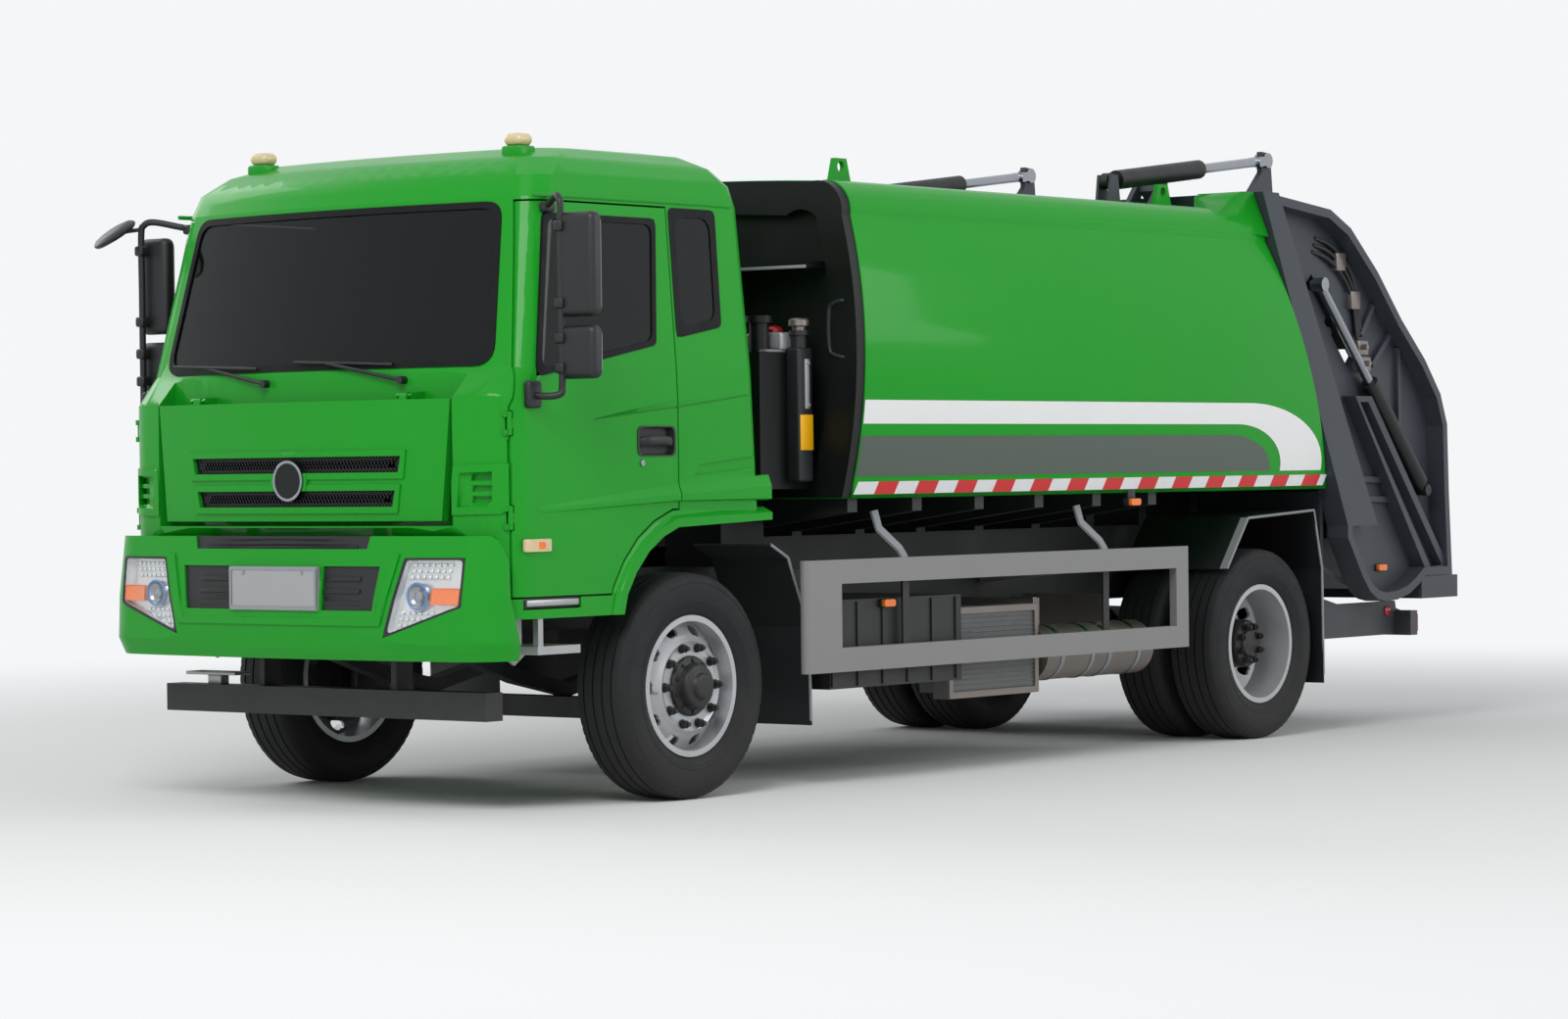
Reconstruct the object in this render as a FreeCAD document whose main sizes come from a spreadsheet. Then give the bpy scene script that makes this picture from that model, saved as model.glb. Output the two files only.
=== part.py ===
import FreeCAD, Part
import math
import os
import re
import Sketcher

# Rear loading garbage truck: two axles, short tilting cab, barrel sided body and a lifting tailgate.
# Frame: +X forward, +Y to the truck's left, +Z up, origin on the floor under the middle of its box.

V = FreeCAD.Vector
X_DIR = V(1, 0, 0)
Y_DIR = V(0, 1, 0)
Z_DIR = V(0, 0, 1)

# Driving sizes in millimetres. "Back" and "ahead" are measured from the front axle.
SIZES = [
    ("wheelbase", 4500),
    ("front_overhang", 1360),
    ("rear_overhang", 1810),
    ("tyre_radius", 479),
    ("tyre_width", 276),
    ("bead_radius", 290),
    ("rim_wall", 16),
    ("flange_lip", 9),
    ("wheel_plane", 998),
    ("twin_pitch", 330),
    ("kingpin_y", 830),
    ("kingpin_radius", 25),
    ("spindle_radius", 40),
    ("rear_tube_radius", 58),
    ("bearing_gap", 0.1),
    ("drum_radius", 205),
    ("rail_outer", 430),
    ("rail_height", 250),
    ("rail_flange", 75),
    ("rail_wall", 9),
    ("rail_top", 960),
    ("rail_front_ahead", 1060),
    ("rail_rear_back", 5000),
    ("front_spring_half", 650),
    ("rear_spring_half", 460),
    ("spring_pack", 60),
    ("tilt_ahead", 1145),
    ("tilt_height", 760),
    ("tilt_pin_radius", 20),
    ("cab_half", 1111),
    ("cab_taper", 81),
    ("cab_rear_back", 485),
    ("cab_rear_low_back", 539),
    ("cab_front_ahead", 1250),
    ("cab_wall", 60),
    ("cab_floor", 1090),
    ("floor_wall", 40),
    ("waist_height", 1815),
    ("glass_foot_ahead", 1141),
    ("glass_head_ahead", 971),
    ("roof_line", 2512),
    ("roof_top", 2750),
    ("arch_top", 1150),
    ("arch_front_ahead", 453),
    ("flare_wide", 62),
    ("flare_proud", 22),
    ("sill_bottom", 796),
    ("door_bottom", 885),
    ("door_top", 2490),
    ("door_front_ahead", 1080),
    ("door_hinge_low", 1180),
    ("door_hinge_high", 1560),
    ("cab_corner", 200),
    ("cab_bow", 5500),
    ("door_rear_ahead", 72),
    ("door_wall", 55),
    ("door_swing_room", 55),
    ("relief", 8),
    ("panel_gap", 8),
    ("glass_wall", 6),
    ("flap_top", 1689),
    ("flap_bottom", 1195),
    ("flap_half", 846),
    ("flap_wall", 40),
    ("flap_hinge_ahead", 1190),
    ("flap_hinge_height", 1705),
    ("cowl_ahead", 1150),
    ("cowl_wall", 45),
    ("badge_radius", 86),
    ("bumper_bottom", 630),
    ("bumper_top", 1135),
    ("bumper_side_back_of_front", 290),
    ("bumper_wall", 50),
    ("underrun_half", 931),
    ("underrun_top", 496),
    ("underrun_height", 116),
    ("underrun_depth", 100),
    ("body_half", 1240),
    ("body_foot_half", 1150),
    ("body_shoulder_half", 1165),
    ("body_widest", 1960),
    ("body_shoulder", 2500),
    ("body_bottom", 1254),
    ("body_top", 2690),
    ("body_wall", 30),
    ("body_front_back", 1070),
    ("body_rear_low_back", 5080),
    ("body_rear_top_back", 4400),
    ("subframe_height", 120),
    ("gate_gap", 10),
    ("gate_post", 150),
    ("gate_plate_y", 1095),
    ("gate_plate_wall", 25),
    ("gate_rim_y", 1220),
    ("gate_hinge_back", 4370),
    ("gate_hinge_rise", 100),
    ("packer_angle", 45.8),
    ("packer_eye_back", 5002),
    ("packer_eye_height", 2299),
    ("packer_foot_back", 6035),
    ("packer_foot_height", 1236),
    ("packer_stroke", 500),
    ("packer_drop", 330),
    ("blade_length", 880),
    ("trough_radius", 950),
    ("trough_wall", 30),
    ("barrel_radius", 45),
    ("rod_radius", 25),
    ("lift_eye_back", 5146),
    ("lift_eye_rise", 170),
    ("lift_foot_back", 3700),
    ("lift_foot_rise", 100),
    ("lift_y", 750),
    ("guard_y", 1230),
    ("guard_front_back", 649),
    ("guard_rear_back", 3655),
    ("guard_top", 990),
    ("guard_bottom", 500),
    ("guard_bar", 105),
    ("mirror_y", 1262),
]

doc = FreeCAD.newDocument("garbage_truck")
sheet = doc.addObject("Spreadsheet::Sheet", "sizes")
for row, (alias, value) in enumerate(SIZES, start=1):
    sheet.set("A%d" % row, str(value))
    sheet.setAlias("A%d" % row, alias)
doc.recompute()


class Sizes:
    """The sheet's values as plain attributes, and what follows from several of them."""

    def __init__(self):
        for alias, _ in SIZES:
            setattr(self, alias, float(sheet.get(alias)))
        self.front_axle = (self.front_overhang + self.wheelbase + self.rear_overhang) / 2 - self.front_overhang
        self.rear_axle = self.front_axle - self.wheelbase
        self.cab_top_half = self.cab_half - self.cab_taper
        self.gate_hinge_height = self.body_top + self.gate_hinge_rise
        self.lift_foot_height = self.body_top + self.lift_foot_rise
        self.lift_eye_height = self.lift_foot_height + self.lift_eye_rise


size = Sizes()
AXLE = "((sizes.front_overhang + sizes.wheelbase + sizes.rear_overhang) / 2 - sizes.front_overhang)"
ALIASES = {alias for alias, _ in SIZES}
nodes = {}


def ax(ahead):
    """The X of a point this far ahead of the front axle."""
    return size.front_axle + ahead


def cells(expression):
    """Sheet expression from plain text: names of sizes become cells, AXLE the front axle's X."""
    text = re.sub(r"[a-z_]+", lambda found: "sizes." + found.group(0) if found.group(0) in ALIASES
                  else found.group(0), str(expression))
    return text.replace("AXLE", AXLE)


def bind(item, prop, expression):
    item.setExpression(prop, cells(expression))


def keep(name, item):
    """Make an object the sub-part of this name."""
    item.Label = name
    nodes[name] = item
    return item


def block(name, x, y, z):
    """A box between two bound limits on each axis."""
    item = doc.addObject("Part::Box", name)
    for prop, base, (low, high) in (("Length", "x", x), ("Width", "y", y), ("Height", "z", z)):
        bind(item, prop, "(%s) - (%s)" % (high, low))
        bind(item, "Placement.Base." + base, low)
    return item


TURN = {"x": FreeCAD.Rotation(Y_DIR, 90), "y": FreeCAD.Rotation(X_DIR, -90), "z": FreeCAD.Rotation()}


def rod(name, axis, radius, start, length):
    """A cylinder along an axis from a bound start point."""
    item = doc.addObject("Part::Cylinder", name)
    item.Placement = FreeCAD.Placement(V(), TURN[axis])
    bind(item, "Radius", radius)
    bind(item, "Height", length)
    for base, value in zip("xyz", start):
        bind(item, "Placement.Base." + base, value)
    return item


def plate(name, plane, outline, low, high):
    """A padded sketch: the outline's corners are bound, and so are the two faces."""
    body = doc.addObject("PartDesign::Body", name)
    sketch = body.newObject("Sketcher::SketchObject", name + "_sketch")
    support = [item for item in body.Origin.OriginFeatures if item.Role == plane][0]
    sketch.AttachmentSupport = [(support, "")]
    sketch.MapMode = "FlatFace"
    count = len(outline)
    for index in range(count):
        sketch.addGeometry(Part.LineSegment(V(index, index * index, 0), V(index + 1, (index + 1) ** 2, 0)))
    for index in range(count):
        sketch.addConstraint(Sketcher.Constraint("Coincident", index, 2, (index + 1) % count, 1))
    for index, (across, up) in enumerate(outline):
        for kind, value in (("DistanceX", across), ("DistanceY", up)):
            number = sketch.addConstraint(Sketcher.Constraint(kind, -1, 1, index, 1, 1.0 + index))
            sketch.setExpression("Constraints[%d]" % number, cells(value))
    start = "-(%s)" % high if plane == "XZ_Plane" else low
    sketch.setExpression(".AttachmentOffset.Base.z", cells(start))
    pad = body.newObject("PartDesign::Pad", name + "_pad")
    pad.Profile = sketch
    bind(pad, "Length", "(%s) - (%s)" % (high, low))
    return body


def mirrored(name, source):
    item = doc.addObject("Part::Mirroring", name)
    item.Source = source
    item.Normal = Y_DIR
    return item


def joined(name, items):
    item = doc.addObject("Part::MultiFuse", name)
    item.Shapes = items
    return item


def grouped(name, items):
    item = doc.addObject("Part::Compound", name)
    item.Links = items
    return item


def solid(name, shape):
    """A sub-part whose shape is worked out here."""
    item = doc.addObject("Part::Feature", name)
    item.Shape = shape
    item.Placement = FreeCAD.Placement(V(), FreeCAD.Rotation())
    return item


def prism(points, low, high):
    """A straight solid between two Y planes over an outline of (x, z) points."""
    face = Part.Face(Part.makePolygon([V(x, low, z) for x, z in points + points[:1]]))
    return face.extrude(V(0, high - low, 0))


def cylinder(radius, start, end):
    return Part.makeCylinder(radius, (end - start).Length, start, end - start)


def box(x, y, z):
    return Part.makeBox(x[1] - x[0], y[1] - y[0], z[1] - z[0], V(x[0], y[0], z[0]))


def flip(shape):
    return shape.mirror(V(), Y_DIR)


def turned(profile, centre):
    """A ring about a Y line: the profile is (sideways, radius) from the centre."""
    points = [V(centre.x, centre.y + side, centre.z + radius) for side, radius in profile]
    return Part.Face(Part.makePolygon(points + points[:1])).revolve(centre, Y_DIR, 360)


# Wheels: a tyre, a pressed rim with hand holes and a hub.
HAND_HOLES = 10


def tyre_shape(centre):
    half = size.tyre_width / 2
    bead = size.bead_radius
    rise = size.tyre_radius - bead
    seat = 0.76 * half
    profile = [(-seat, bead), (-seat, bead + size.flange_lip + 2), (-0.93 * half, bead + 0.22 * rise), (-half, bead + 0.55 * rise),
               (-0.96 * half, bead + 0.80 * rise), (-0.82 * half, bead + 0.96 * rise),
               (-0.66 * half, size.tyre_radius)]
    return turned(profile + [(-side, radius) for side, radius in reversed(profile)], centre)


def rim_shape(centre, side, joint, face, hub_out, bulge=0):
    """A rim whose disc leaves the barrel at one offset and bolts up at another, with a raised ring between."""
    seat = 0.76 * size.tyre_width / 2 + 0.3
    bead = size.bead_radius
    lip = bead + size.flange_lip
    inner = bead - size.rim_wall
    barrel = turned([(-seat - 8, inner), (-seat - 8, lip), (-seat, lip), (-seat, bead), (seat, bead),
                     (seat, lip), (seat + 8, lip), (seat + 8, inner)], centre)
    disc = [(joint, inner + 2), (face - bulge, 205), (face + bulge, 190), (face, 172), (face, 90)]
    profile = disc + [(out - 14, radius) for out, radius in reversed(disc)]
    rim = barrel.fuse(turned([(side * out, radius) for out, radius in profile], centre))
    for index in range(HAND_HOLES):
        angle = 2 * math.pi * index / HAND_HOLES
        across = V(-math.sin(angle), 0, math.cos(angle)) * 12
        spot = centre + V(math.cos(angle) * 240, -200, math.sin(angle) * 240)
        rim = rim.cut(Part.makeCylinder(22, 400, spot - across, Y_DIR).fuse(Part.makeCylinder(22, 400, spot + across, Y_DIR)))
    hub = cylinder(105, centre + V(0, (face - 40) * side, 0), centre + V(0, (face + 12) * side, 0))
    cap = cylinder(62, centre + V(0, face * side, 0), centre + V(0, hub_out * side, 0))
    return rim.fuse([hub, cap])


def front_wheel(name, side):
    centre = V(size.front_axle, side * size.wheel_plane, size.tyre_radius)
    tyre = solid("tyre_" + name, tyre_shape(centre))
    shape = rim_shape(centre, side, 34, 100, 150, 8)
    bore = cylinder(size.spindle_radius + size.bearing_gap, centre - V(0, 100 * side, 0),
                    centre + V(0, 90 * side, 0))
    rim = solid("rim_" + name, shape.cut(bore))
    keep("tyre_" + name, tyre)
    keep("rim_" + name, rim)


def rear_wheel(name, side):
    outer = V(size.rear_axle, side * size.wheel_plane, size.tyre_radius)
    inner = outer - V(0, side * size.twin_pitch, 0)
    middle = (outer + inner) * 0.5
    keep("tyres_" + name, solid("tyres_" + name, Part.makeCompound([tyre_shape(outer), tyre_shape(inner)])))
    reach = size.twin_pitch / 2
    rims = rim_shape(outer, -side, 88, reach - 1, reach).fuse(rim_shape(inner, side, 88, reach - 1, reach))
    hub = cylinder(112, middle - V(0, 60 * side, 0), middle + V(0, 200 * side, 0))
    bore = cylinder(size.rear_tube_radius + size.bearing_gap, middle - V(0, 300 * side, 0),
                    middle + V(0, 180 * side, 0))
    keep("rims_" + name, solid("rims_" + name, rims.fuse(hub).cut(bore)))


for place, side in (("left", 1), ("right", -1)):
    front_wheel("front_" + place, side)
    rear_wheel("rear_" + place, side)


# Steering knuckles: a fork round the beam's eye, a spindle and a brake.
def knuckle(name, side):
    x = size.front_axle
    z = size.tyre_radius
    pin = V(x, side * size.kingpin_y, z)
    gap = size.bearing_gap
    fork = [box((x - 45, x + 45), sorted((side * (size.kingpin_y - 45), side * (size.kingpin_y + 75))), (low, low + 34))
            for low in (z + 80 + gap, z - 80 - gap - 34)]
    back = box((x - 60, x + 60), sorted((side * (size.kingpin_y + 52), side * (size.kingpin_y + 75))),
               (z - 114 - gap, z + 114 + gap))
    kingpin = cylinder(size.kingpin_radius, pin - V(0, 0, 100), pin + V(0, 0, 100))
    spindle = cylinder(size.spindle_radius, pin + V(0, 70 * side, 0),
                       V(x, side * (size.wheel_plane + 88), z))
    brake = cylinder(size.drum_radius, pin + V(0, 75 * side, 0), pin + V(0, 150 * side, 0))
    keep(name, solid(name, fork[0].fuse([fork[1], back, kingpin, spindle, brake])))


knuckle("knuckle_left", 1)
knuckle("knuckle_right", -1)


def leaf_pair(x, top, low, half):
    """Two leaf packs under the rails, from their hangers down to the axle's seat."""
    pack = size.spring_pack
    ends = top - 110
    outline = [(x - half, ends), (x - half * 0.5, (ends + low) / 2 - 20), (x, low), (x + half * 0.5, (ends + low) / 2 - 20),
               (x + half, ends), (x + half, top), (x + half - 50, top), (x + half - 50, ends + pack),
               (x + half * 0.5, (ends + low) / 2 - 20 + pack), (x, low + pack),
               (x - half * 0.5, (ends + low) / 2 - 20 + pack), (x - half + 50, ends + pack), (x - half + 50, top),
               (x - half, top)]
    outer = size.rail_outer
    left = prism(outline, outer - size.rail_flange, outer)
    return left.fuse(flip(left))


def front_axle_shape():
    x = size.front_axle
    z = size.tyre_radius
    low = size.rail_top - size.rail_height
    beam = box((x - 45, x + 45), (-size.kingpin_y + 90, size.kingpin_y - 90), (z - 150, z - 60))
    parts = [leaf_pair(x, low, z - 60, size.front_spring_half)]
    for side in (1, -1):
        pin = V(x, side * size.kingpin_y, z)
        eye = cylinder(46, pin - V(0, 0, 80), pin + V(0, 0, 80))
        neck = box((x - 40, x + 40), sorted((side * (size.kingpin_y - 110), side * (size.kingpin_y - 20))), (z - 80, z + 50))
        arm = box((x - 45, x + 45), sorted((side * (size.kingpin_y - 140), side * (size.kingpin_y - 75))), (z - 150, z + 50))
        parts += [eye.fuse([neck, arm])]
    shape = beam.fuse(parts)
    for side in (1, -1):
        pin = V(x, side * size.kingpin_y, z)
        bore = size.kingpin_radius + size.bearing_gap
        shape = shape.cut(cylinder(bore, pin - V(0, 0, 90), pin + V(0, 0, 90)))
    return shape


keep("front_axle", solid("front_axle", front_axle_shape()))


def rear_axle_shape():
    x = size.rear_axle
    z = size.tyre_radius
    reach = size.wheel_plane - size.twin_pitch / 2 + 170
    tube = cylinder(size.rear_tube_radius, V(x, -reach, z), V(x, reach, z))
    casing = Part.makeCylinder(190, 240, V(x + 30, 0, z), X_DIR).fuse(Part.makeCylinder(190, 180, V(x - 150, 0, z), X_DIR))
    drums = [cylinder(size.drum_radius, V(x, side * 440, z), V(x, side * 520, z)) for side in (1, -1)]
    springs = leaf_pair(x, size.rail_top - size.rail_height, z + size.rear_tube_radius - 10, size.rear_spring_half)
    return tube.fuse([casing, springs] + drums)


keep("rear_axle", solid("rear_axle", rear_axle_shape()))


# Chassis frame: two C rails, cross members, tilt brackets and tow eyes.
def frame_shape():
    front = ax(size.rail_front_ahead)
    rear = ax(-size.rail_rear_back)
    top = size.rail_top
    low = top - size.rail_height
    outer = size.rail_outer
    wall = size.rail_wall
    inner = outer - size.rail_flange
    points = [(outer, low), (outer, top), (inner, top), (inner, top - wall), (outer - wall, top - wall),
              (outer - wall, low + wall), (inner, low + wall), (inner, low)]
    face = Part.Face(Part.makePolygon([V(rear, y, z) for y, z in points + points[:1]]))
    rail = face.extrude(V(front - rear, 0, 0))
    members = []
    for share in (0.01, 0.16, 0.28, 0.40, 0.56, 0.70, 0.93):
        x = rear + share * (front - rear)
        members.append(box((x, x + 60), (-outer + wall / 2, outer - wall / 2), (low + 45, top - 45)))
    tilt = V(ax(size.tilt_ahead), 0, size.tilt_height)
    bracket = box((front - 120, tilt.x + 45), (outer, outer + 25), (size.tilt_height - 50, top - 60))
    pin = cylinder(size.tilt_pin_radius, V(tilt.x, outer - 90, tilt.z), V(tilt.x, outer + 25, tilt.z))
    arms = bracket.fuse(pin)
    return rail.fuse([flip(rail), arms, flip(arms)] + members)


keep("frame_rails", solid("frame_rails", frame_shape()))

keep("drive_motor", joined("drive_motor", [
    block("motor_block", ("AXLE - 2450", "AXLE - 1750"), ("-230", "230"), ("rail_top - 400", "rail_top - 40")),
    block("motor_hanger_front", ("AXLE - 1850", "AXLE - 1800"), ("-rail_outer + rail_wall", "rail_outer - rail_wall"),
          ("rail_top - 120", "rail_top - 70")),
    block("motor_hanger_rear", ("AXLE - 2400", "AXLE - 2350"), ("-rail_outer + rail_wall", "rail_outer - rail_wall"),
          ("rail_top - 120", "rail_top - 70")),
]))

# Front underrun beam on two hangers.
underrun_parts = [
    block("underrun_bar", ("AXLE + rail_front_ahead - 74", "AXLE + rail_front_ahead - 74 + underrun_depth"),
          ("-underrun_half", "underrun_half"), ("underrun_top - underrun_height", "underrun_top")),
]
for label, low, high in (("left", "rail_outer - 60", "rail_outer - 30"), ("right", "-rail_outer + 30", "-rail_outer + 60")):
    underrun_parts.append(block("underrun_hanger_" + label, ("AXLE + rail_front_ahead - 110", "AXLE + rail_front_ahead - 10"),
                                (low, high), ("underrun_top - 60", "rail_top - rail_height")))
keep("underrun_beam", joined("underrun_beam", underrun_parts))


# Cab: a lofted shell with an inner loft taken out, then the openings.
def cab_ring(z, front, half, rear, bow, corner, back_corner=90):
    """A closed outline at one height: bowed front, round corners, straight sides and rear."""
    phi = math.asin((half - corner) / (bow - corner))
    nose = V(front, 0, z)
    end = V(front - bow + bow * math.cos(phi), bow * math.sin(phi), z)
    hub = V(front - bow + (bow - corner) * math.cos(phi), (bow - corner) * math.sin(phi), z)
    mid = (phi + math.pi / 2) / 2
    turn = hub + V(corner * math.cos(mid), corner * math.sin(mid), 0)
    side = V(hub.x, half, z)
    back = V(rear + back_corner, half, z)
    slant = back_corner * math.sqrt(0.5)
    back_turn = V(rear + back_corner - slant, half - back_corner + slant, z)
    tail = V(rear, half - back_corner, z)

    def other(point):
        return V(point.x, -point.y, point.z)

    return Part.Wire([
        Part.Arc(other(end), nose, end).toShape(), Part.Arc(end, turn, side).toShape(),
        Part.makeLine(side, back), Part.Arc(back, back_turn, tail).toShape(), Part.makeLine(tail, other(tail)),
        Part.Arc(other(tail), other(back_turn), other(back)).toShape(),
        Part.makeLine(other(back), other(side)), Part.Arc(other(side), other(turn), other(end)).toShape()])


ROOF_STEPS = 4


def cab_loft(inset):
    """The cab's outer form, drawn in by the inset on every side."""
    front = ax(size.cab_front_ahead)
    rear_low = ax(-size.cab_rear_low_back)
    rear = ax(-size.cab_rear_back)
    walls = [
        (size.sill_bottom, front, size.cab_half, rear_low, size.cab_bow, size.cab_corner),
        (size.flap_top, front, size.cab_half, rear, size.cab_bow, size.cab_corner),
        (size.waist_height, ax(size.glass_foot_ahead), size.cab_half - 6, rear, 4500, 130),
        (size.roof_line, ax(size.glass_head_ahead), size.cab_top_half, rear, 4500, 130),
    ]
    rise = size.roof_top - size.roof_line
    for step in range(1, ROOF_STEPS + 1):
        angle = step * math.pi / 2 / ROOF_STEPS
        pull = 1 - math.cos(angle)
        walls.append((size.roof_line + (rise - inset) * math.sin(angle), ax(size.glass_head_ahead) - 520 * pull,
                      size.cab_top_half - 330 * pull, rear + 210 * pull, 4500, 130 + 50 * pull))
    rings = [cab_ring(z, front - inset, half - inset, back + inset, bow, max(corner - inset, 30), max(90 - inset, 30))
             for z, front, half, back, bow, corner in walls]
    return Part.makeLoft(rings, True, True)


def arch_line(distance):
    """The wheel arch's edge from the sill to the cab's rear, moved out by a distance."""
    points = [(ax(size.arch_front_ahead), size.sill_bottom), (ax(430), 878), (ax(372), 968), (ax(290), 1052),
              (ax(196), 1112), (ax(96), size.arch_top), (ax(-2000), size.arch_top + 72)]
    normals = []
    for (x_start, z_start), (x_end, z_end) in zip(points[:-1], points[1:]):
        length = math.hypot(x_end - x_start, z_end - z_start)
        normals.append(((z_end - z_start) / length, (x_start - x_end) / length))
    moved = [(points[0][0] + distance / normals[0][0], points[0][1])]
    for place, (first_x, first_z), (next_x, next_z) in zip(points[1:-1], normals[:-1], normals[1:]):
        share = distance / (1 + first_x * next_x + first_z * next_z)
        moved.append((place[0] + (first_x + next_x) * share, place[1] + (first_z + next_z) * share))
    moved.append((points[-1][0], points[-1][1] + distance / normals[-1][1]))
    return moved


def arch_cutter(distance):
    """All that lies below the cab's lower edge: sill, wheel arch and rear part."""
    far = size.cab_half + 200
    return prism([(ax(-2000), 0), (ax(3000), 0), (ax(3000), size.sill_bottom)] + arch_line(distance), -far, far)


def arch_flare(side):
    """The proud band round the arch, its upper edge drawn in so that it slopes."""
    rings = []
    for depth, wide in ((-30, size.flare_wide), (size.flare_proud, size.flare_wide * 0.6)):
        outline = arch_line(0)[:-1] + [(ax(-size.cab_rear_low_back) + 6, size.arch_top + 16)]
        outer = arch_line(wide)[:-1] + [(ax(-size.cab_rear_low_back) + 6, size.arch_top + 16 + wide)]
        corners = [V(x, side * (size.cab_half + depth), z) for x, z in outline + outer[::-1]]
        rings.append(Part.makePolygon(corners + corners[:1]))
    return Part.makeLoft(rings, True, True)


def side_ledge(side):
    """The lower belt of the cab's side: nothing at the front, growing to a sloped ledge at the rear."""
    rings = []
    for ahead, top, proud, foot in ((950, 1240, 1, 1225), (97, 1322, 16, 1262), (-size.cab_rear_low_back + 4, 1357, 18, 1262)):
        outline = [(-30, top + 8), (0, top + 8), (proud, top - 35 * proud / 16), (proud, foot), (0, foot - 6), (-30, foot - 6)]
        corners = [V(ax(ahead), side * (size.cab_half + y), z) for y, z in outline]
        rings.append(Part.makePolygon(corners + corners[:1]))
    return Part.makeLoft(rings, True, True)


def side_cuts(side):
    """Pressed lines of the cab's side: the belt groove, the rear hollow and the handle's cup."""
    half = size.cab_half

    def cut(points, depth):
        return prism([(ax(x), z) for x, z in points], *sorted((side * (half - depth), side * (half + 90))))

    belt = cut([(611, 1598), (65, 1651), (-448, 1708), (-448, 1715), (65, 1658), (611, 1603)], 5)
    hollow = cut([(-40, 1366), (-450, 1398), (-450, 1448), (-70, 1412)], 7)
    cup = cut([(92, 1475), (112, 1455), (300, 1448), (326, 1468), (330, 1545), (308, 1566), (120, 1572), (94, 1552)], 30)
    return belt.fuse([hollow, cup])


def skin(out, depth):
    """The cab's outer skin from this far proud to this deep."""
    return cab_loft(-out).cut(cab_loft(depth))


def front_prism(points):
    """An outline of (y, z) points carried along X through the cab's front."""
    corners = [V(ax(850), y, z) for y, z in points]
    return Part.Face(Part.makePolygon(corners + corners[:1])).extrude(V(900, 0, 0))


def corner_guide(side):
    """The raised frame on the cab's front corner and its pocket with three slots."""
    def across(points):
        return front_prism([(side * y, z) for y, z in points])

    frame = across([(838, 1218), (1060, 1222), (1085, 1245), (1085, 1425), (862, 1418)])
    frame = skin(size.relief, 12).common(frame)
    pocket = across([(880, 1250), (1010, 1252), (1030, 1275), (1030, 1392), (892, 1388)])
    slots = [across([(935, low), (1034, low), (1034, low + 26), (940, low + 26)]) for low in (1268, 1312, 1356)]
    return frame, skin(size.relief + 4, 8).common(pocket).fuse([skin(0, 26).common(slot) for slot in slots])


def bumper_zone(grow):
    """The room that the bumper takes in front of the cab."""
    far = size.cab_half + 200
    back = ax(size.front_overhang) - size.bumper_side_back_of_front - grow
    top = size.bumper_top + 25 + grow
    room = size.door_swing_room
    points = [(back, 300), (back, 690), (back + room, size.door_bottom - size.panel_gap - grow), (back + room, 1030),
              (back + room + 34, 1110), (back + 150, top), (ax(2500), top), (ax(2500), 300)]
    return prism(points, -far, far)


def door_prism(grow, side):
    """The door's outline as a cutter, larger by grow all round."""
    front = ax(size.door_front_ahead)
    rear = ax(size.door_rear_ahead)
    points = [(rear - grow, size.door_bottom - grow), (front + grow, size.door_bottom - grow), (front + grow, 1650),
              (front - 70 + grow, size.waist_height), (front - 210 + grow, size.door_top + grow),
              (rear - 26 - grow, size.door_top + grow), (rear - grow, size.waist_height)]
    limits = sorted((side * (size.cab_half + 60), side * (size.cab_top_half - size.door_wall - 90)))
    return prism(points, *limits).cut(arch_cutter(size.flare_wide + 2 * size.panel_gap - grow))


def window_prism(side, margin):
    limits = sorted((side * (size.cab_half + 60), side * (size.cab_top_half - 300)))
    points = [(ax(190) + margin, 1915 + margin), (ax(950) - margin, 1775 + margin), (ax(815) - margin, 2440 - margin),
              (ax(120) + margin, 2440 - margin)]
    return prism(points, *limits)


def quarter_prism(side, margin):
    limits = sorted((side * (size.cab_half + 60), side * (size.cab_top_half - 300)))
    points = [(ax(55) - margin, 1935 + margin), (ax(34) - margin, 2500 - margin), (ax(-289) + margin, 2500 - margin),
              (ax(-262) + margin, 1990 + margin)]
    return prism(points, *limits)


def screen_prism(margin):
    """The windscreen's outline, looking along X."""
    points = [(-963 + margin, 1814 + margin), (963 - margin, 1814 + margin), (885 - margin, 2500 - margin), (-885 + margin, 2500 - margin)]
    corners = [V(ax(500), y, z) for y, z in points]
    shape = Part.Face(Part.makePolygon(corners + corners[:1])).extrude(V(1500, 0, 0))
    edges = [edge for edge in shape.Edges if edge.Length > 1400]
    return shape.makeFillet(90, edges)


def front_zone(half, setback, low):
    """All ahead of the cowl's bowed face moved back by a setback, within a half width, up to the waist."""
    front = ax(size.cowl_ahead) - setback
    edge = front - half * half / 2 / size.cab_bow
    far = ax(2000)
    arc = Part.Arc(V(edge, -half, low), V(front, 0, low), V(edge, half, low)).toShape()
    corners = [V(edge, half, low), V(far, half, low), V(far, -half, low), V(edge, -half, low)]
    wire = Part.Wire([arc] + [Part.makeLine(start, end) for start, end in zip(corners[:-1], corners[1:])])
    return Part.Face(wire).extrude(V(0, 0, size.waist_height - low))


plain_cab = cab_loft(0)
inner_cab = cab_loft(size.cab_wall).cut(front_zone(1400, size.cowl_wall, 0))


def dressed_cab():
    """The plain form with its flares, ledges and corner frames, less its pressed lines and pockets."""
    shape = plain_cab
    for side in (1, -1):
        frame, pocket = corner_guide(side)
        shape = shape.fuse([arch_flare(side), side_ledge(side), frame])
        shape = shape.cut(side_cuts(side)).cut(pocket)
    return shape


outer_cab = dressed_cab()


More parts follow.
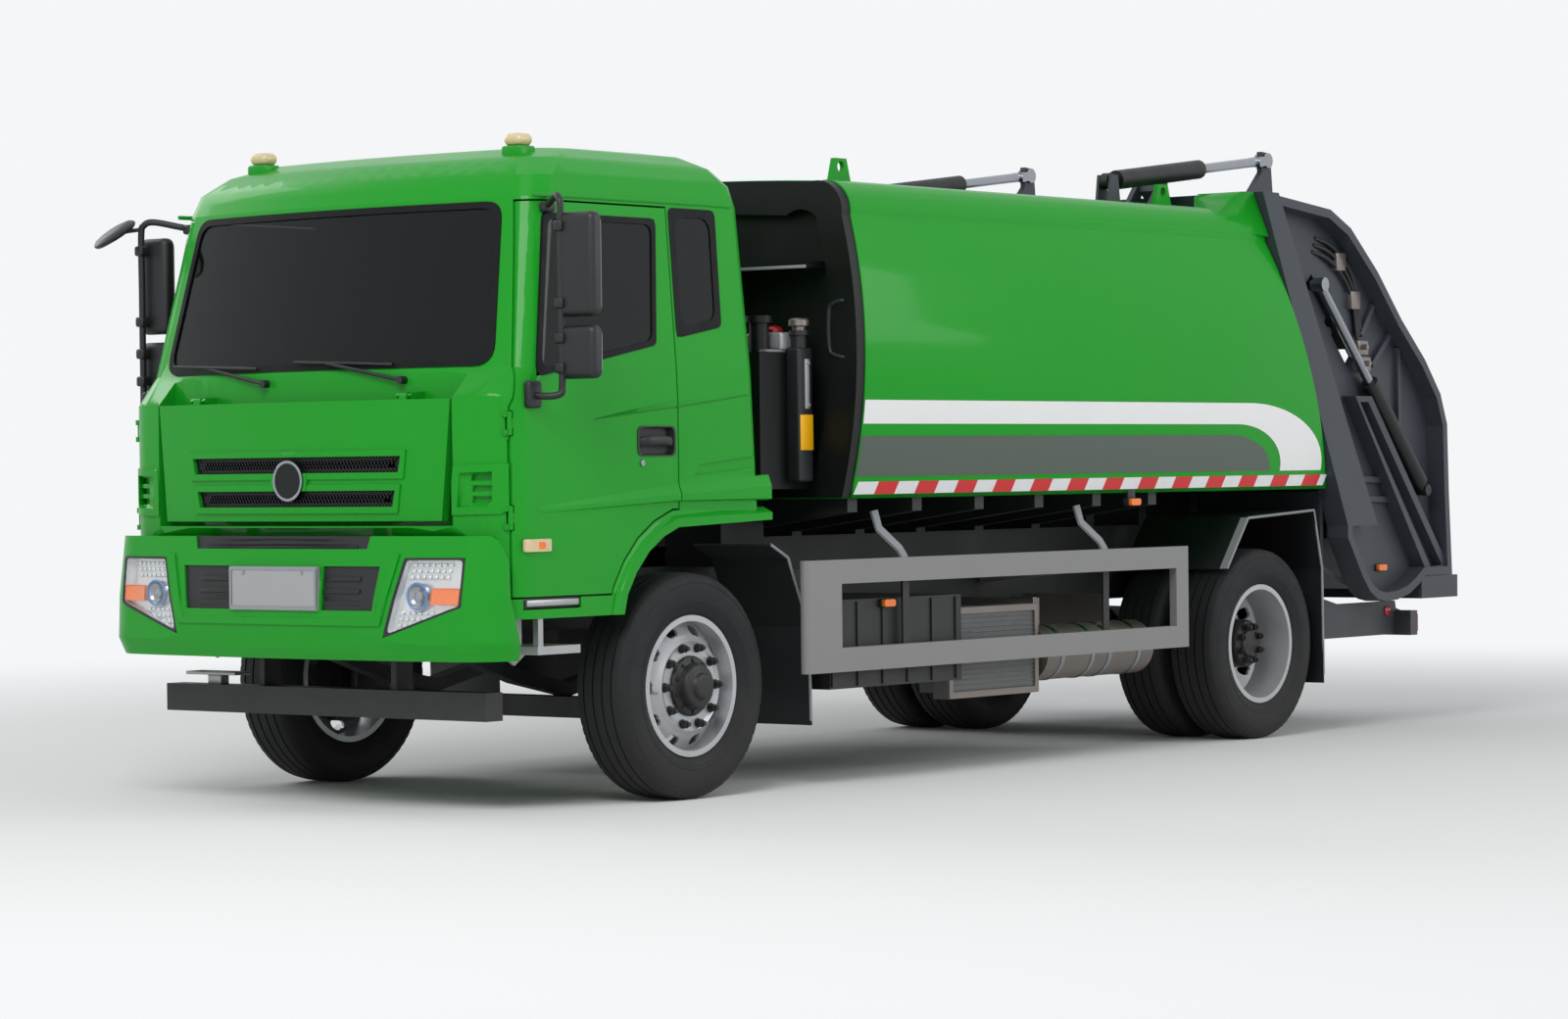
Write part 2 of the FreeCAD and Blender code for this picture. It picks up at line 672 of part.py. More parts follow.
def door_half(side, thick_loft):
    """One door leaf: the slice of the outer form inside the door's outline."""
    slab = outer_cab.cut(thick_loft).common(door_prism(0, side))
    leaf = slab.cut(bumper_zone(size.panel_gap)).cut(window_prism(side, 0)).cut(arch_cutter(0)).cut(screen_prism(-30))
    own, other, _ = door_hinges(side)
    return leaf.cut(other[1]).fuse(own[0]).cut(own[1])


def door_axis(side):
    """The door's hinge line stands on the cab's corner, in the middle of the shut gap."""
    x = ax(size.door_front_ahead) + size.panel_gap / 2
    turn = size.cab_corner
    phi = math.asin((size.cab_half - turn) / (size.cab_bow - turn))
    hub_x = ax(size.cab_front_ahead) - size.cab_bow + (size.cab_bow - turn) * math.cos(phi)
    return V(x, side * (size.cab_half - turn + math.sqrt(turn ** 2 - (x - hub_x) ** 2)), 0)


def door_hinges(side):
    """Two hinges: the leaf's knuckles with their bore, and the post's knuckles, pin and clearances."""
    line = door_axis(side)
    leaf, post, room_leaf, room_post, bores = [], [], [], [], []
    for height in (size.door_hinge_low, size.door_hinge_high):
        at = line + V(0, 0, height)
        wing = sorted((at.y - side * 16, at.y))
        leaf.append(cylinder(11, at, at + V(0, 0, 50)).fuse(box((at.x - 26, at.x), wing, (height, height + 50))))
        for low in (height - 22.3, height + 50.3):
            post.append(cylinder(11, at + V(0, 0, low - height), at + V(0, 0, low - height + 22)).fuse(
                box((at.x, at.x + 26), wing, (low, low + 22))))
            room_leaf.append(cylinder(16, V(at.x, at.y, low - 4), V(at.x, at.y, low + 26)))
        room_post.append(cylinder(17, at, at + V(0, 0, 50)))
        post.append(cylinder(4, at - V(0, 0, 22), at + V(0, 0, 72)))
        bores.append(cylinder(4 + size.bearing_gap, at - V(0, 0, 1), at + V(0, 0, 51)))
    return ((leaf[0].fuse(leaf[1]), bores[0].fuse(bores[1])),
            (post[0].fuse(post[1:]), room_leaf[0].fuse(room_leaf[1:])),
            room_post[0].fuse(room_post[1]))


def seat_floor():
    """The raised floor over the wheels that carries the seats."""
    return size.arch_top + 10 + size.floor_wall


def cab_shell_shape():
    floor_top = size.cab_floor + size.floor_wall
    shell = outer_cab.cut(inner_cab)
    well_front = ax(1075)
    wide = (-size.cab_half + size.cab_wall, size.cab_half - size.cab_wall)
    step = ax(250)
    floor = box((step, ax(1180)), wide, (size.cab_floor, floor_top))
    floor = floor.fuse(box((ax(-500), step + size.floor_wall), wide, (seat_floor() - size.floor_wall, seat_floor())))
    floor = floor.fuse(box((step, step + size.floor_wall), wide, (size.cab_floor, seat_floor())))
    wells = []
    for side in (1, -1):
        wells.append(box((ax(size.arch_front_ahead) + 60, well_front), sorted((side * 700, side * (size.cab_half - 20))),
                         (size.sill_bottom + 4, size.sill_bottom + 40)))
        wells.append(box((ax(size.arch_front_ahead) + 60, well_front), sorted((side * 700, side * 730)),
                         (size.sill_bottom + 4, size.cab_floor + 10)))
    shell = shell.fuse([floor.common(outer_cab)] + wells).common(outer_cab)
    shell = shell.cut(arch_cutter(0)).cut(bumper_zone(size.panel_gap)).cut(
        front_zone(size.flap_half + size.panel_gap, 0, size.flap_bottom - 20))
    for side in (1, -1):
        shell = shell.cut(door_prism(size.panel_gap, side).cut(screen_prism(-22))).cut(quarter_prism(side, 12))
        shell = shell.cut(box((ax(700), ax(1040)), sorted((side * (size.cab_half - 50), side * (size.cab_half + 90))),
                              (size.door_bottom - 52, size.door_bottom)))
    bracket_room = size.rail_outer + 55
    shell = shell.cut(box((ax(1050), ax(1250)), (-bracket_room, bracket_room), (size.sill_bottom - 10, size.rail_top - 45)))
    shell = shell.cut(screen_prism(22))
    tilt = V(ax(size.tilt_ahead), 0, size.tilt_height)
    arms = []
    for side in (1, -1):
        low, high = sorted((side * (size.rail_outer - 80), side * (size.rail_outer - 40)))
        ring = cylinder(46, V(tilt.x, low, tilt.z), V(tilt.x, high, tilt.z))
        leg = box((tilt.x - 40, tilt.x + 30), (low, high), (tilt.z, size.cab_floor + 10))
        hole = cylinder(size.tilt_pin_radius + size.bearing_gap, V(tilt.x, low - 5, tilt.z), V(tilt.x, high + 5, tilt.z))
        arms.append(ring.fuse(leg).cut(hole))
        _, post, room = door_hinges(side)
        line = door_axis(side)
        swing = cylinder(10, line + V(0, 0, size.door_hinge_low + 74), line + V(0, 0, size.door_hinge_high - 40))
        shell = shell.cut(room).cut(swing).fuse(post[0])
        hinge = V(ax(size.flap_hinge_ahead), side * 600, size.flap_hinge_height)
        for y in (hinge.y - 42, hinge.y + 26):
            arms.append(prism([(hinge.x - 110, hinge.z + 20), (hinge.x, hinge.z + 10), (hinge.x + 10, hinge.z),
                               (hinge.x, hinge.z - 10), (hinge.x - 110, hinge.z - 20)], y, y + 16).cut(inner_cab))
        arms.append(cylinder(5, hinge - V(0, 42, 0), hinge + V(0, 42, 0)))
    return shell.fuse(arms)


cab_shape = cab_shell_shape()
keep("cab_shell", solid("cab_shell", cab_shape))

glass_outer = cab_loft(3)
glass_inner = cab_loft(3 + size.glass_wall)
glass_skin = glass_outer.cut(glass_inner)
keep("windscreen", solid("windscreen", glass_skin.common(screen_prism(22.3))))
keep("quarter_windows", solid("quarter_windows", Part.makeCompound(
    [glass_skin.common(quarter_prism(side, 12.3)) for side in (1, -1)])))
door_inner = cab_loft(size.door_wall)
for place, side in (("left", 1), ("right", -1)):
    keep("door_" + place, solid("door_" + place, door_half(side, door_inner)))
    keep("door_glass_" + place, solid("door_glass_" + place, glass_skin.common(window_prism(side, 0.3))))


# Front flap: the proud panel below the windscreen with its two grille strips and a plain disc.
GRILLE_STRIPS = ((1394, 1460, 605), (1254, 1320, 575))
BADGE_HEIGHT = 1362


def strip_outline(strip, grow):
    """The slanted outline of one grille strip, grown all round."""
    low, high, reach = strip
    return [(-reach - grow, high + grow), (-reach + 14 - grow, low - grow), (reach - 14 + grow, low - grow),
            (reach + grow, high + grow)]


def flap_shape():
    half = size.flap_half
    slab = outer_cab.cut(cab_loft(size.flap_wall))
    foot = half - 46
    points = [(-half, size.flap_top), (-foot, size.flap_bottom), (foot, size.flap_bottom), (half, size.flap_top)]
    corners = [V(ax(900), y, z) for y, z in points]
    panel = slab.common(Part.Face(Part.makePolygon(corners + corners[:1])).extrude(V(800, 0, 0)))
    proud = skin(size.relief, 8)
    nose = ax(size.cab_front_ahead)
    panel = panel.fuse([proud.common(front_prism(strip_outline(strip, 26))) for strip in GRILLE_STRIPS] +
                       [cylinder(size.badge_radius + 18, V(nose - 20, 0, BADGE_HEIGHT), V(nose + size.relief + 3, 0, BADGE_HEIGHT))])
    for strip in GRILLE_STRIPS:
        panel = panel.cut(front_prism(strip_outline(strip, 0)))
    for side in (1, -1):
        hinge = V(ax(size.flap_hinge_ahead), side * 600, size.flap_hinge_height)
        knuckle_ring = cylinder(11, hinge - V(0, 20, 0), hinge + V(0, 20, 0))
        web = prism([(hinge.x - 8, hinge.z), (hinge.x + 11, hinge.z), (hinge.x + 14, size.flap_top - 30),
                     (hinge.x - 8, size.flap_top - 30)], hinge.y - 20, hinge.y + 20)
        bore = cylinder(5 + size.bearing_gap, hinge - V(0, 25, 0), hinge + V(0, 25, 0))
        panel = panel.fuse(knuckle_ring.fuse(web)).cut(bore)
    return panel


keep("front_flap", solid("front_flap", flap_shape()))


def badge_shape():
    nose = ax(size.cab_front_ahead)
    return cylinder(size.badge_radius, V(nose - 20, 0, BADGE_HEIGHT), V(nose + 16, 0, BADGE_HEIGHT))


def grille_shape():
    strips = [skin(-12, 20).common(front_prism(strip_outline(strip, -0.3))) for strip in GRILLE_STRIPS]
    return strips[0].fuse([strips[1], badge_shape()])


flap_item = nodes["front_flap"]
grille = grille_shape()
flap_item.Shape = flap_item.Shape.cut(badge_shape().fuse(grille))
keep("flap_grilles", solid("flap_grilles", grille))


# Bumper: a lofted shell with lamp and grille openings.
def bumper_loft(inset):
    front = ax(size.front_overhang)
    back = front - size.bumper_side_back_of_front
    rows = [(size.bumper_bottom, front - 30, size.cab_half - 12), (size.bumper_bottom + 70, front, size.cab_half),
            (size.bumper_bottom + 250, front - 8, size.cab_half), (size.bumper_top, front - 40, size.cab_half - 6)]
    rings = [cab_ring(z, f - inset, h - inset, back - 60, 8000, 200, 40) for z, f, h in rows]
    return Part.makeLoft(rings, True, True)


def lamp_prism(side, margin):
    points = [(598, 724), (695, 1047), (990, 1048), (985, 850)]
    middle = (sum(y for y, _ in points) / 4, sum(z for _, z in points) / 4)
    shrunk = [(middle[0] + (y - middle[0]) * (1 - margin / 150), middle[1] + (z - middle[1]) * (1 - margin / 150))
              for y, z in points]
    corners = [V(ax(1000), side * y, z) for y, z in shrunk]
    return Part.Face(Part.makePolygon(corners + corners[:1])).extrude(V(900, 0, 0))


def top_notch(margin):
    """The slot in the bumper's upper edge that holds the slatted insert."""
    return front_prism([(-515 + margin, 1160), (-495 + margin, 1083 + margin), (495 - margin, 1083 + margin), (515 - margin, 1160)])


def bumper_moulding():
    """The raised U round the plate and the two lower grilles."""
    outer = front_prism([(-672, 1062), (-586, 772), (586, 772), (672, 1062)])
    inner = front_prism([(-636, 1070), (-558, 800), (558, 800), (636, 1070)])
    return bumper_loft(-size.relief).cut(bumper_loft(10)).common(outer.cut(inner))


def grille_prism(side, margin):
    points = [(265, 833), (540, 833), (570, 1013), (265, 1013)]
    corners = [V(ax(1000), side * (y + (margin if y < 300 else -margin)), z + (margin if z < 900 else -margin))
               for y, z in points]
    return Part.Face(Part.makePolygon(corners + corners[:1])).extrude(V(900, 0, 0))


def bumper_shape():
    shell = bumper_loft(0).cut(bumper_loft(size.bumper_wall))
    back = ax(size.front_overhang) - size.bumper_side_back_of_front
    lid = bumper_loft(0).common(box((back, ax(2000)), (-2000, 2000), (size.bumper_top - 14, size.bumper_top)))
    lip = bumper_loft(0).common(box((ax(size.front_overhang) - 120, ax(2000)), (-2000, 2000),
                                    (size.bumper_bottom, size.bumper_bottom + 20)))
    shell = shell.fuse([lid, lip, bumper_moulding()]).common(bumper_zone(0))
    shell = shell.cut(box((ax(-2000), back), (-3000, 3000), (0, 3000)))
    shell = shell.cut(top_notch(0))
    for side in (1, -1):
        shell = shell.cut(lamp_prism(side, 0)).cut(grille_prism(side, 0))
    bars = []
    for side in (1, -1):
        limits = sorted((side * (size.rail_outer - 80), side * (size.rail_outer - 40)))
        bars.append(box((ax(size.tilt_ahead) + 30.3, ax(size.front_overhang) - 80), limits, (1040, 1080)))
    return shell.fuse(bars)


keep("front_bumper", solid("front_bumper", bumper_shape()))


def headlamp_shape():
    skin = bumper_loft(6).cut(bumper_loft(46))
    lamps = [skin.common(lamp_prism(side, 0.5)) for side in (1, -1)]
    return Part.makeCompound(lamps)


keep("headlamps", solid("headlamps", headlamp_shape()))


def bumper_grille_shape():
    skin = bumper_loft(10).cut(bumper_loft(40))
    parts = []
    for side in (1, -1):
        field = skin.common(grille_prism(side, 0.3))
        for index in range(3):
            low = 860 + index * 50
            field = field.cut(box((ax(size.front_overhang) - 30, ax(2000)), (-2000, 2000), (low, low + 30)))
        parts.append(field)
    insert = bumper_loft(8).cut(bumper_loft(34)).common(top_notch(0.3))
    for low in (1092, 1112):
        insert = insert.cut(box((ax(size.front_overhang) - 56, ax(2000)), (-478, 478), (low, low + 12)))
    return Part.makeCompound(parts + [insert])


keep("bumper_grilles", solid("bumper_grilles", bumper_grille_shape()))
keep("number_plate", solid("number_plate", box((ax(size.front_overhang) - 20, ax(size.front_overhang)), (-254, 254),
                                               (831, 1011)).cut(bumper_loft(0))))


# Cab inside: dashboard, steering wheel, seats; and the wipers and roof lamps outside.
def dashboard_shape():
    points = [(ax(1200), 1180), (ax(1200), 1740), (ax(1010), 1760), (ax(880), 1790), (ax(700), 1680), (ax(690), 1600),
              (ax(900), 1500), (ax(960), 1180)]
    desk = prism(points, -900, 900).common(inner_cab).cut(front_zone(1400, size.cowl_wall + size.bearing_gap, 0))
    hub = V(ax(560), 520, 1900)
    corners = [V(225 + 15 * math.cos(math.pi / 3 * step), 0, 15 * math.sin(math.pi / 3 * step)) for step in range(6)]
    ring = Part.Face(Part.makePolygon(corners + corners[:1])).revolve(V(), Z_DIR, 360)
    spokes = [Part.makeBox(220, 24, 12, V(0, -12, -6)) for _ in range(3)]
    for index, spoke in enumerate(spokes):
        spoke.rotate(V(), Z_DIR, 120 * index + 90)
    centre = Part.makeCylinder(45, 40, V(0, 0, -20))
    wheel = ring.fuse(spokes + [centre])
    column = Part.makeCylinder(22, 430, V(0, 0, -430))
    wheel = wheel.fuse(column)
    wheel.rotate(V(), Y_DIR, -35)
    wheel.translate(hub)
    return desk.fuse(wheel)


keep("dashboard", solid("dashboard", dashboard_shape()))


def seats_shape():
    floor = size.cab_floor + size.floor_wall
    parts = []
    for y in (-560, 560):
        profile = [(ax(-340), floor + 330), (ax(160), floor + 330), (ax(190), floor + 400), (ax(150), floor + 450),
                   (ax(-200), floor + 430), (ax(-260), floor + 960), (ax(-290), floor + 1200), (ax(-360), floor + 1200),
                   (ax(-390), floor + 960)]
        seat = prism(profile, y - 250, y + 250)
        foot = box((ax(-320), ax(60)), (y - 200, y + 200), (seat_floor() + size.bearing_gap, floor + 330))
        parts.append(seat.fuse(foot))
    return Part.makeCompound(parts)


keep("seats", solid("seats", seats_shape()))


def wiper_shape():
    parts = []
    for y in (-230, 540):
        pivot = V(ax(size.cowl_ahead) - y * y / 2 / size.cab_bow, y, 1770)
        post = cylinder(16, pivot - V(10, 0, 0), pivot + V(34, 0, 0)).cut(cab_shape)
        tip = V(ax(size.glass_foot_ahead) - (y - 420) ** 2 / 2 / 4500 + 22, y - 420, 1850)
        arm = cylinder(8, pivot + V(26, 0, 0), tip)
        blade_end = V(ax(size.glass_foot_ahead) - (y - 60) ** 2 / 2 / 4500 + 14, y - 60, 1835)
        blade = cylinder(7, tip + V(-6, -180, 6), blade_end)
        parts.append(post.fuse([arm, blade]))
    return Part.makeCompound(parts)


keep("wipers", solid("wipers", wiper_shape()))


def roof_lamp(side):
    limits = sorted((side * 690, side * 800))
    return box((ax(590), ax(690)), limits, (size.roof_top - 60, size.roof_top + 40)).cut(outer_cab)


keep("roof_lamps", solid("roof_lamps", Part.makeCompound([roof_lamp(1), roof_lamp(-1)])))


# Mirrors ride on the doors: two arms and two heads a side.
def mirror_shape(side):
    y = size.mirror_y
    foot = V(ax(985), side * (size.cab_half - 60), 1700)
    top = V(ax(800), side * (size.cab_top_half - 60), 2462)
    post_x = ax(925)
    arms = [cylinder(14, foot, V(post_x, side * (y - 40), 1690)), cylinder(14, V(post_x, side * (y - 40), 1690), V(post_x, side * (y - 40), 2500)),
            cylinder(14, V(post_x, side * (y - 40), 2500), top)]
    pads = [box((foot.x - 35, foot.x + 35), sorted((side * (size.cab_half - 60), side * (size.cab_half + 25))), (1650, 1750)),
            box((top.x - 30, top.x + 30), sorted((side * (size.cab_top_half - 60), side * (size.cab_top_half + 35))), (2448, 2480))]
    heads = [box((post_x - 60, post_x + 10), sorted((side * (y - 62), side * (y + 138))), (low, high)) for low, high in
             ((2010, 2430), (1760, 1975))]
    rounded = [head.makeChamfer(28, head.Edges) for head in heads]
    parts = arms[1:] + pads + rounded
    if side < 0:
        centre = V(post_x + 95, side * (y + 30), 2452)
        face = V(0.5, side * -0.25, 0.83)
        parts.append(cylinder(105, centre - face * 18, centre + face * 18))
        parts.append(cylinder(9, V(post_x, side * (y - 40), 2485), centre))
    return arms[0].fuse(parts).cut(outer_cab)


for place, side in (("left", 1), ("right", -1)):
    keep("mirrors_" + place, solid("mirrors_" + place, mirror_shape(side)))


# Refuse body: a barrel section drawn along X, walls of one thickness, its rear end cut to the tailgate's slope.
def body_section(x, inset):
    half = size.body_half - inset
    foot = size.body_foot_half - inset
    shoulder = size.body_shoulder_half - inset
    low = size.body_bottom + inset
    top = size.body_top - inset
    corner_z = top - 30
    corner_y = shoulder - 165
    bend = V(x, shoulder - 30, size.body_shoulder + 110 - inset * 0.6)

    def other(point):
        return V(point.x, -point.y, point.z)

    a = V(x, foot, low)
    b = V(x, half, size.body_widest)
    c = V(x, shoulder, size.body_shoulder)
    d = V(x, corner_y, corner_z)
    crown = V(x, 0, top)
    return Part.Wire([
        Part.makeLine(other(a), a), Part.Arc(a, b, c).toShape(), Part.Arc(c, bend, d).toShape(),
        Part.Arc(d, crown, other(d)).toShape(), Part.Arc(other(d), other(bend), other(c)).toShape(),
        Part.Arc(other(c), other(b), other(a)).toShape()])


def rear_cutter(offset):
    """All behind the body's sloping rear end, moved back by an offset."""
    low_x = ax(-size.body_rear_low_back) - offset
    top_x = ax(-size.body_rear_top_back) - offset
    slope = (top_x - low_x) / (size.body_top - size.body_bottom)
    foot_x = low_x - slope * (size.body_bottom - 0)
    head_x = top_x + slope * (3600 - size.body_top)
    return prism([(foot_x, 0), (head_x, 3600), (ax(-9000), 3600), (ax(-9000), 0)], -1600, 1600)


def refuse_body_shape():
    front = ax(-size.body_front_back)
    rear = ax(-size.body_rear_low_back) - 50
    outer = Part.Face(body_section(rear, 0)).extrude(V(front - rear, 0, 0))
    inner = Part.Face(body_section(rear - 10, size.body_wall)).extrude(V(front - rear - size.body_wall + 10, 0, 0))
    gussets = [corner_gusset(side).cut(outer) for side in (1, -1)]
    return outer.cut(inner).fuse(gussets).cut(rear_cutter(0)), outer.fuse(gussets)


def corner_gusset(side):
    """The wedge that carries the roof's rear corner out to the tailgate's flange."""
    rear = ax(-size.body_rear_top_back - 120)
    wedge = prism([(ax(-4103), 2560), (ax(-4103), 2600), (ax(-4235), 2718), (ax(-4300), 2745), (rear, 2745), (rear, 2520)],
                  *sorted((side * 860, side * 1205)))
    corners = [V(x, side * y, 2500) for x, y in ((ax(-4103), 1010), (ax(-4103), 1105), (rear, 1205), (rear, 860), (ax(-4250), 900))]
    return wedge.common(Part.Face(Part.makePolygon(corners + corners[:1])).extrude(V(0, 0, 400)))


body_shape, body_block = refuse_body_shape()
keep("refuse_body", solid("refuse_body", body_shape))


def hinge_point():
    return V(ax(-size.gate_hinge_back), 0, size.gate_hinge_height)


def body_frame_shape():
    """Black front wall: a plate with a deep flange round the section, a shelf and two posts."""
    front = ax(-size.body_front_back)
    depth = 60
    band = Part.Face(body_section(front + 0.3, 6)).extrude(V(depth, 0, 0))
    hollow = Part.Face(body_section(front + 12, 150)).extrude(V(depth, 0, 0))
    frame = band.cut(hollow)
    shelf = box((front + 0.3, front + 150), (-1040, 1040), (2270, 2300))
    posts = [box((front + 0.3, front + 90), (y - 30, y + 30), (size.body_bottom + 140, 2275)) for y in (-490, 490)]
    return frame.fuse([shelf] + posts)


keep("body_front_frame", solid("body_front_frame", body_frame_shape()))


def subframe_shape():
    """Two long bearers between the rails and the body floor, with cross bearers."""
    low = size.rail_top
    top = size.body_bottom
    front = ax(-size.body_front_back) + 60
    rear = ax(-size.body_rear_low_back) + 40
    parts = []
    for side in (1, -1):
        y = sorted((side * (size.rail_outer - size.rail_flange), side * size.rail_outer))
        parts.append(box((rear, front), y, (low, low + size.subframe_height)))
    step = (front - rear - 200) / 8
    for index in range(9):
        x = rear + 60 + index * step
        parts.append(box((x, x + 70), (-size.rail_outer, size.rail_outer), (low + size.subframe_height - 40, top)))
        for side in (1, -1) if abs(x + 35 - size.rear_axle) > 640 else ():
            arm = [(side * size.rail_outer, low + size.subframe_height + 20), (side * (size.body_foot_half - 30), top - 60),
                   (side * (size.body_foot_half - 30), top), (side * size.rail_outer, top)]
            corners = [V(x, y, z) for y, z in arm]
            parts.append(Part.Face(Part.makePolygon(corners + corners[:1])).extrude(V(70, 0, 0)))
    shape = parts[0].fuse(parts[1:])
    return shape


keep("body_subframe", solid("body_subframe", subframe_shape()))


def roof_height(y):
    """Height of the body's roof at a sideways place."""
    probe = Part.makeLine(V(ax(-2000), y, 2000), V(ax(-2000), y, 3200))
    return max(vertex.Z for vertex in probe.common(body_shape).Vertexes)


LUG_BORE = 25


def lug_shape():
    parts = []
    for back in (1330, 3950):
        for side in (1, -1):
            x = ax(-back)
            low = roof_height(side * 900) - 20
            web = prism([(x - 80, low), (x - 42, low + 130), (x + 42, low + 130), (x + 80, low)], side * 900 - 12, side * 900 + 12)
            web = web.cut(cylinder(LUG_BORE, V(x, side * 900 - 20, low + 92), V(x, side * 900 + 20, low + 92)))
            parts.append(web.cut(body_shape))
    return Part.makeCompound(parts)


keep("lifting_lugs", solid("lifting_lugs", lug_shape()))


def hinge_lug_shape():
    """Body side of the tailgate hinge: two pairs of ears on the roof's rear edge with their pins."""
    hinge = hinge_point()
    parts = []
    for side in (1, -1):
        for y in (480, 620):
            low, high = sorted((side * y, side * (y + 30)))
            points = [(hinge.x + 190, size.body_top - 60), (hinge.x + 30, hinge.z + 30), (hinge.x - 22, hinge.z + 28),
                      (hinge.x - 26, hinge.z - 12), (hinge.x + 8, hinge.z - 36), (hinge.x + 20, size.body_top - 60)]
            parts.append(prism(points, low, high).cut(body_block))
        low, high = sorted((side * 480, side * 650))
        parts.append(cylinder(22, V(hinge.x, low, hinge.z), V(hinge.x, high, hinge.z)))
    return parts[0].fuse(parts[1:]).cut(rear_cutter(0).common(box((-6000, 6000), (-2000, 2000), (0, hinge.z - 60))))


# Tailgate: posts, ribbed side plates with a rim, roof and rear plates.
def gate_outline():
    rows = [(-5034, 2681), (-5234, 2593), (-5503, 2375), (-5741, 2134), (-5985, 1925), (-6144, 1747), (-6213, 1586),
            (-6226, 1225), (-6255, 782), (-5975, 784), (-5900, 738), (-5800, 692), (-5680, 666), (-5563, 660),
            (-5480, 674), (-5400, 716), (-5322, 800), (-5180, 1000)]
    head = [(ax(x), z) for x, z in rows]
    low_x = ax(-size.body_rear_low_back) - size.gate_gap
    slope = (size.body_rear_low_back - size.body_rear_top_back) / (size.body_top - size.body_bottom)
    foot = (low_x - slope * (size.body_bottom - 1060), 1060)
    top = (low_x + slope * (2745 - size.body_bottom), 2745)
    return head + [foot, top]


def along(distance, offset=0.0):
    """A point on the packer's slide line, measured up from its rod eye, and off it."""
    angle = math.radians(size.packer_angle)
    eye_x = ax(-size.packer_eye_back)
    return (eye_x + distance * math.cos(angle) - offset * math.sin(angle),
            size.packer_eye_height + distance * math.sin(angle) + offset * math.cos(angle))


def beam(start, end, low_offset, high_offset, low, high):
    """A straight bar along the slide line between two distances and two offsets."""
    return prism([along(start, low_offset), along(end, low_offset), along(end, high_offset), along(start, high_offset)],
                 *sorted((low, high)))


def gate_side(side):
    outline = gate_outline()
    inner = size.gate_plate_y
    outer = inner + size.gate_plate_wall
    rim = size.gate_rim_y
    limits = sorted((side * inner, side * outer))
    sheet_plate = prism(outline, *limits)
    slot = beam(-size.packer_stroke - 40, 40, -40, 40, *(side * (inner - 5), side * (outer + 5)))
    sheet_plate = sheet_plate.cut(slot)
    face = Part.Face(Part.makePolygon([V(x, 0, z) for x, z in outline + outline[:1]]))
    hole = face.makeOffset2D(-45)
    ring = face.cut(hole)
    limits = sorted((side * outer, side * rim))
    band = ring.extrude(V(0, limits[1] - limits[0], 0))
    band.translate(V(0, limits[0], 0))
    slope = (size.body_rear_low_back - size.body_rear_top_back) / (size.body_top - size.body_bottom)
    low_x = ax(-size.body_rear_low_back) - size.gate_gap
    post_line = [(low_x - slope * (size.body_bottom - z), z) for z in (1060, 2745)]
    post = prism([post_line[0], post_line[1], (post_line[1][0] - size.gate_post, 2745),
                  (post_line[0][0] - 2 * size.gate_post, 1060)], *limits)
    ribs = []
    for x_low, z_low, x_high, z_high in ((-5850, 1530, -5842, 1990), (-5440, 1196, -5780, 1190), (-5440, 1300, -5640, 1294),
                                         (-5460, 2050, -5590, 2205), (-5570, 1895, -5760, 2055)):
        dx, dz = x_high - x_low, z_high - z_low
        length = math.hypot(dx, dz)
        nx, nz = -dz / length * 15, dx / length * 15
        ribs.append(prism([(ax(x_low + nx), z_low + nz), (ax(x_high + nx), z_high + nz), (ax(x_high - nx), z_high - nz),
                           (ax(x_low - nx), z_low - nz)], *sorted((side * outer, side * (outer + 25)))))
    guide = prism([(ax(-5300), 1730), (ax(-5465), 1730), (ax(-6252), 822), (ax(-6020), 800)],
                  *sorted((side * outer, side * (rim - 20))))
    hollow = prism([(ax(-5345), 1700), (ax(-5430), 1700), (ax(-6180), 835), (ax(-6065), 824)],
                   *sorted((side * (outer + 25), side * rim)))
    return sheet_plate.fuse([band, post, guide.cut(hollow)] + [rib.common(prism(outline, -1300, 1300)) for rib in ribs])


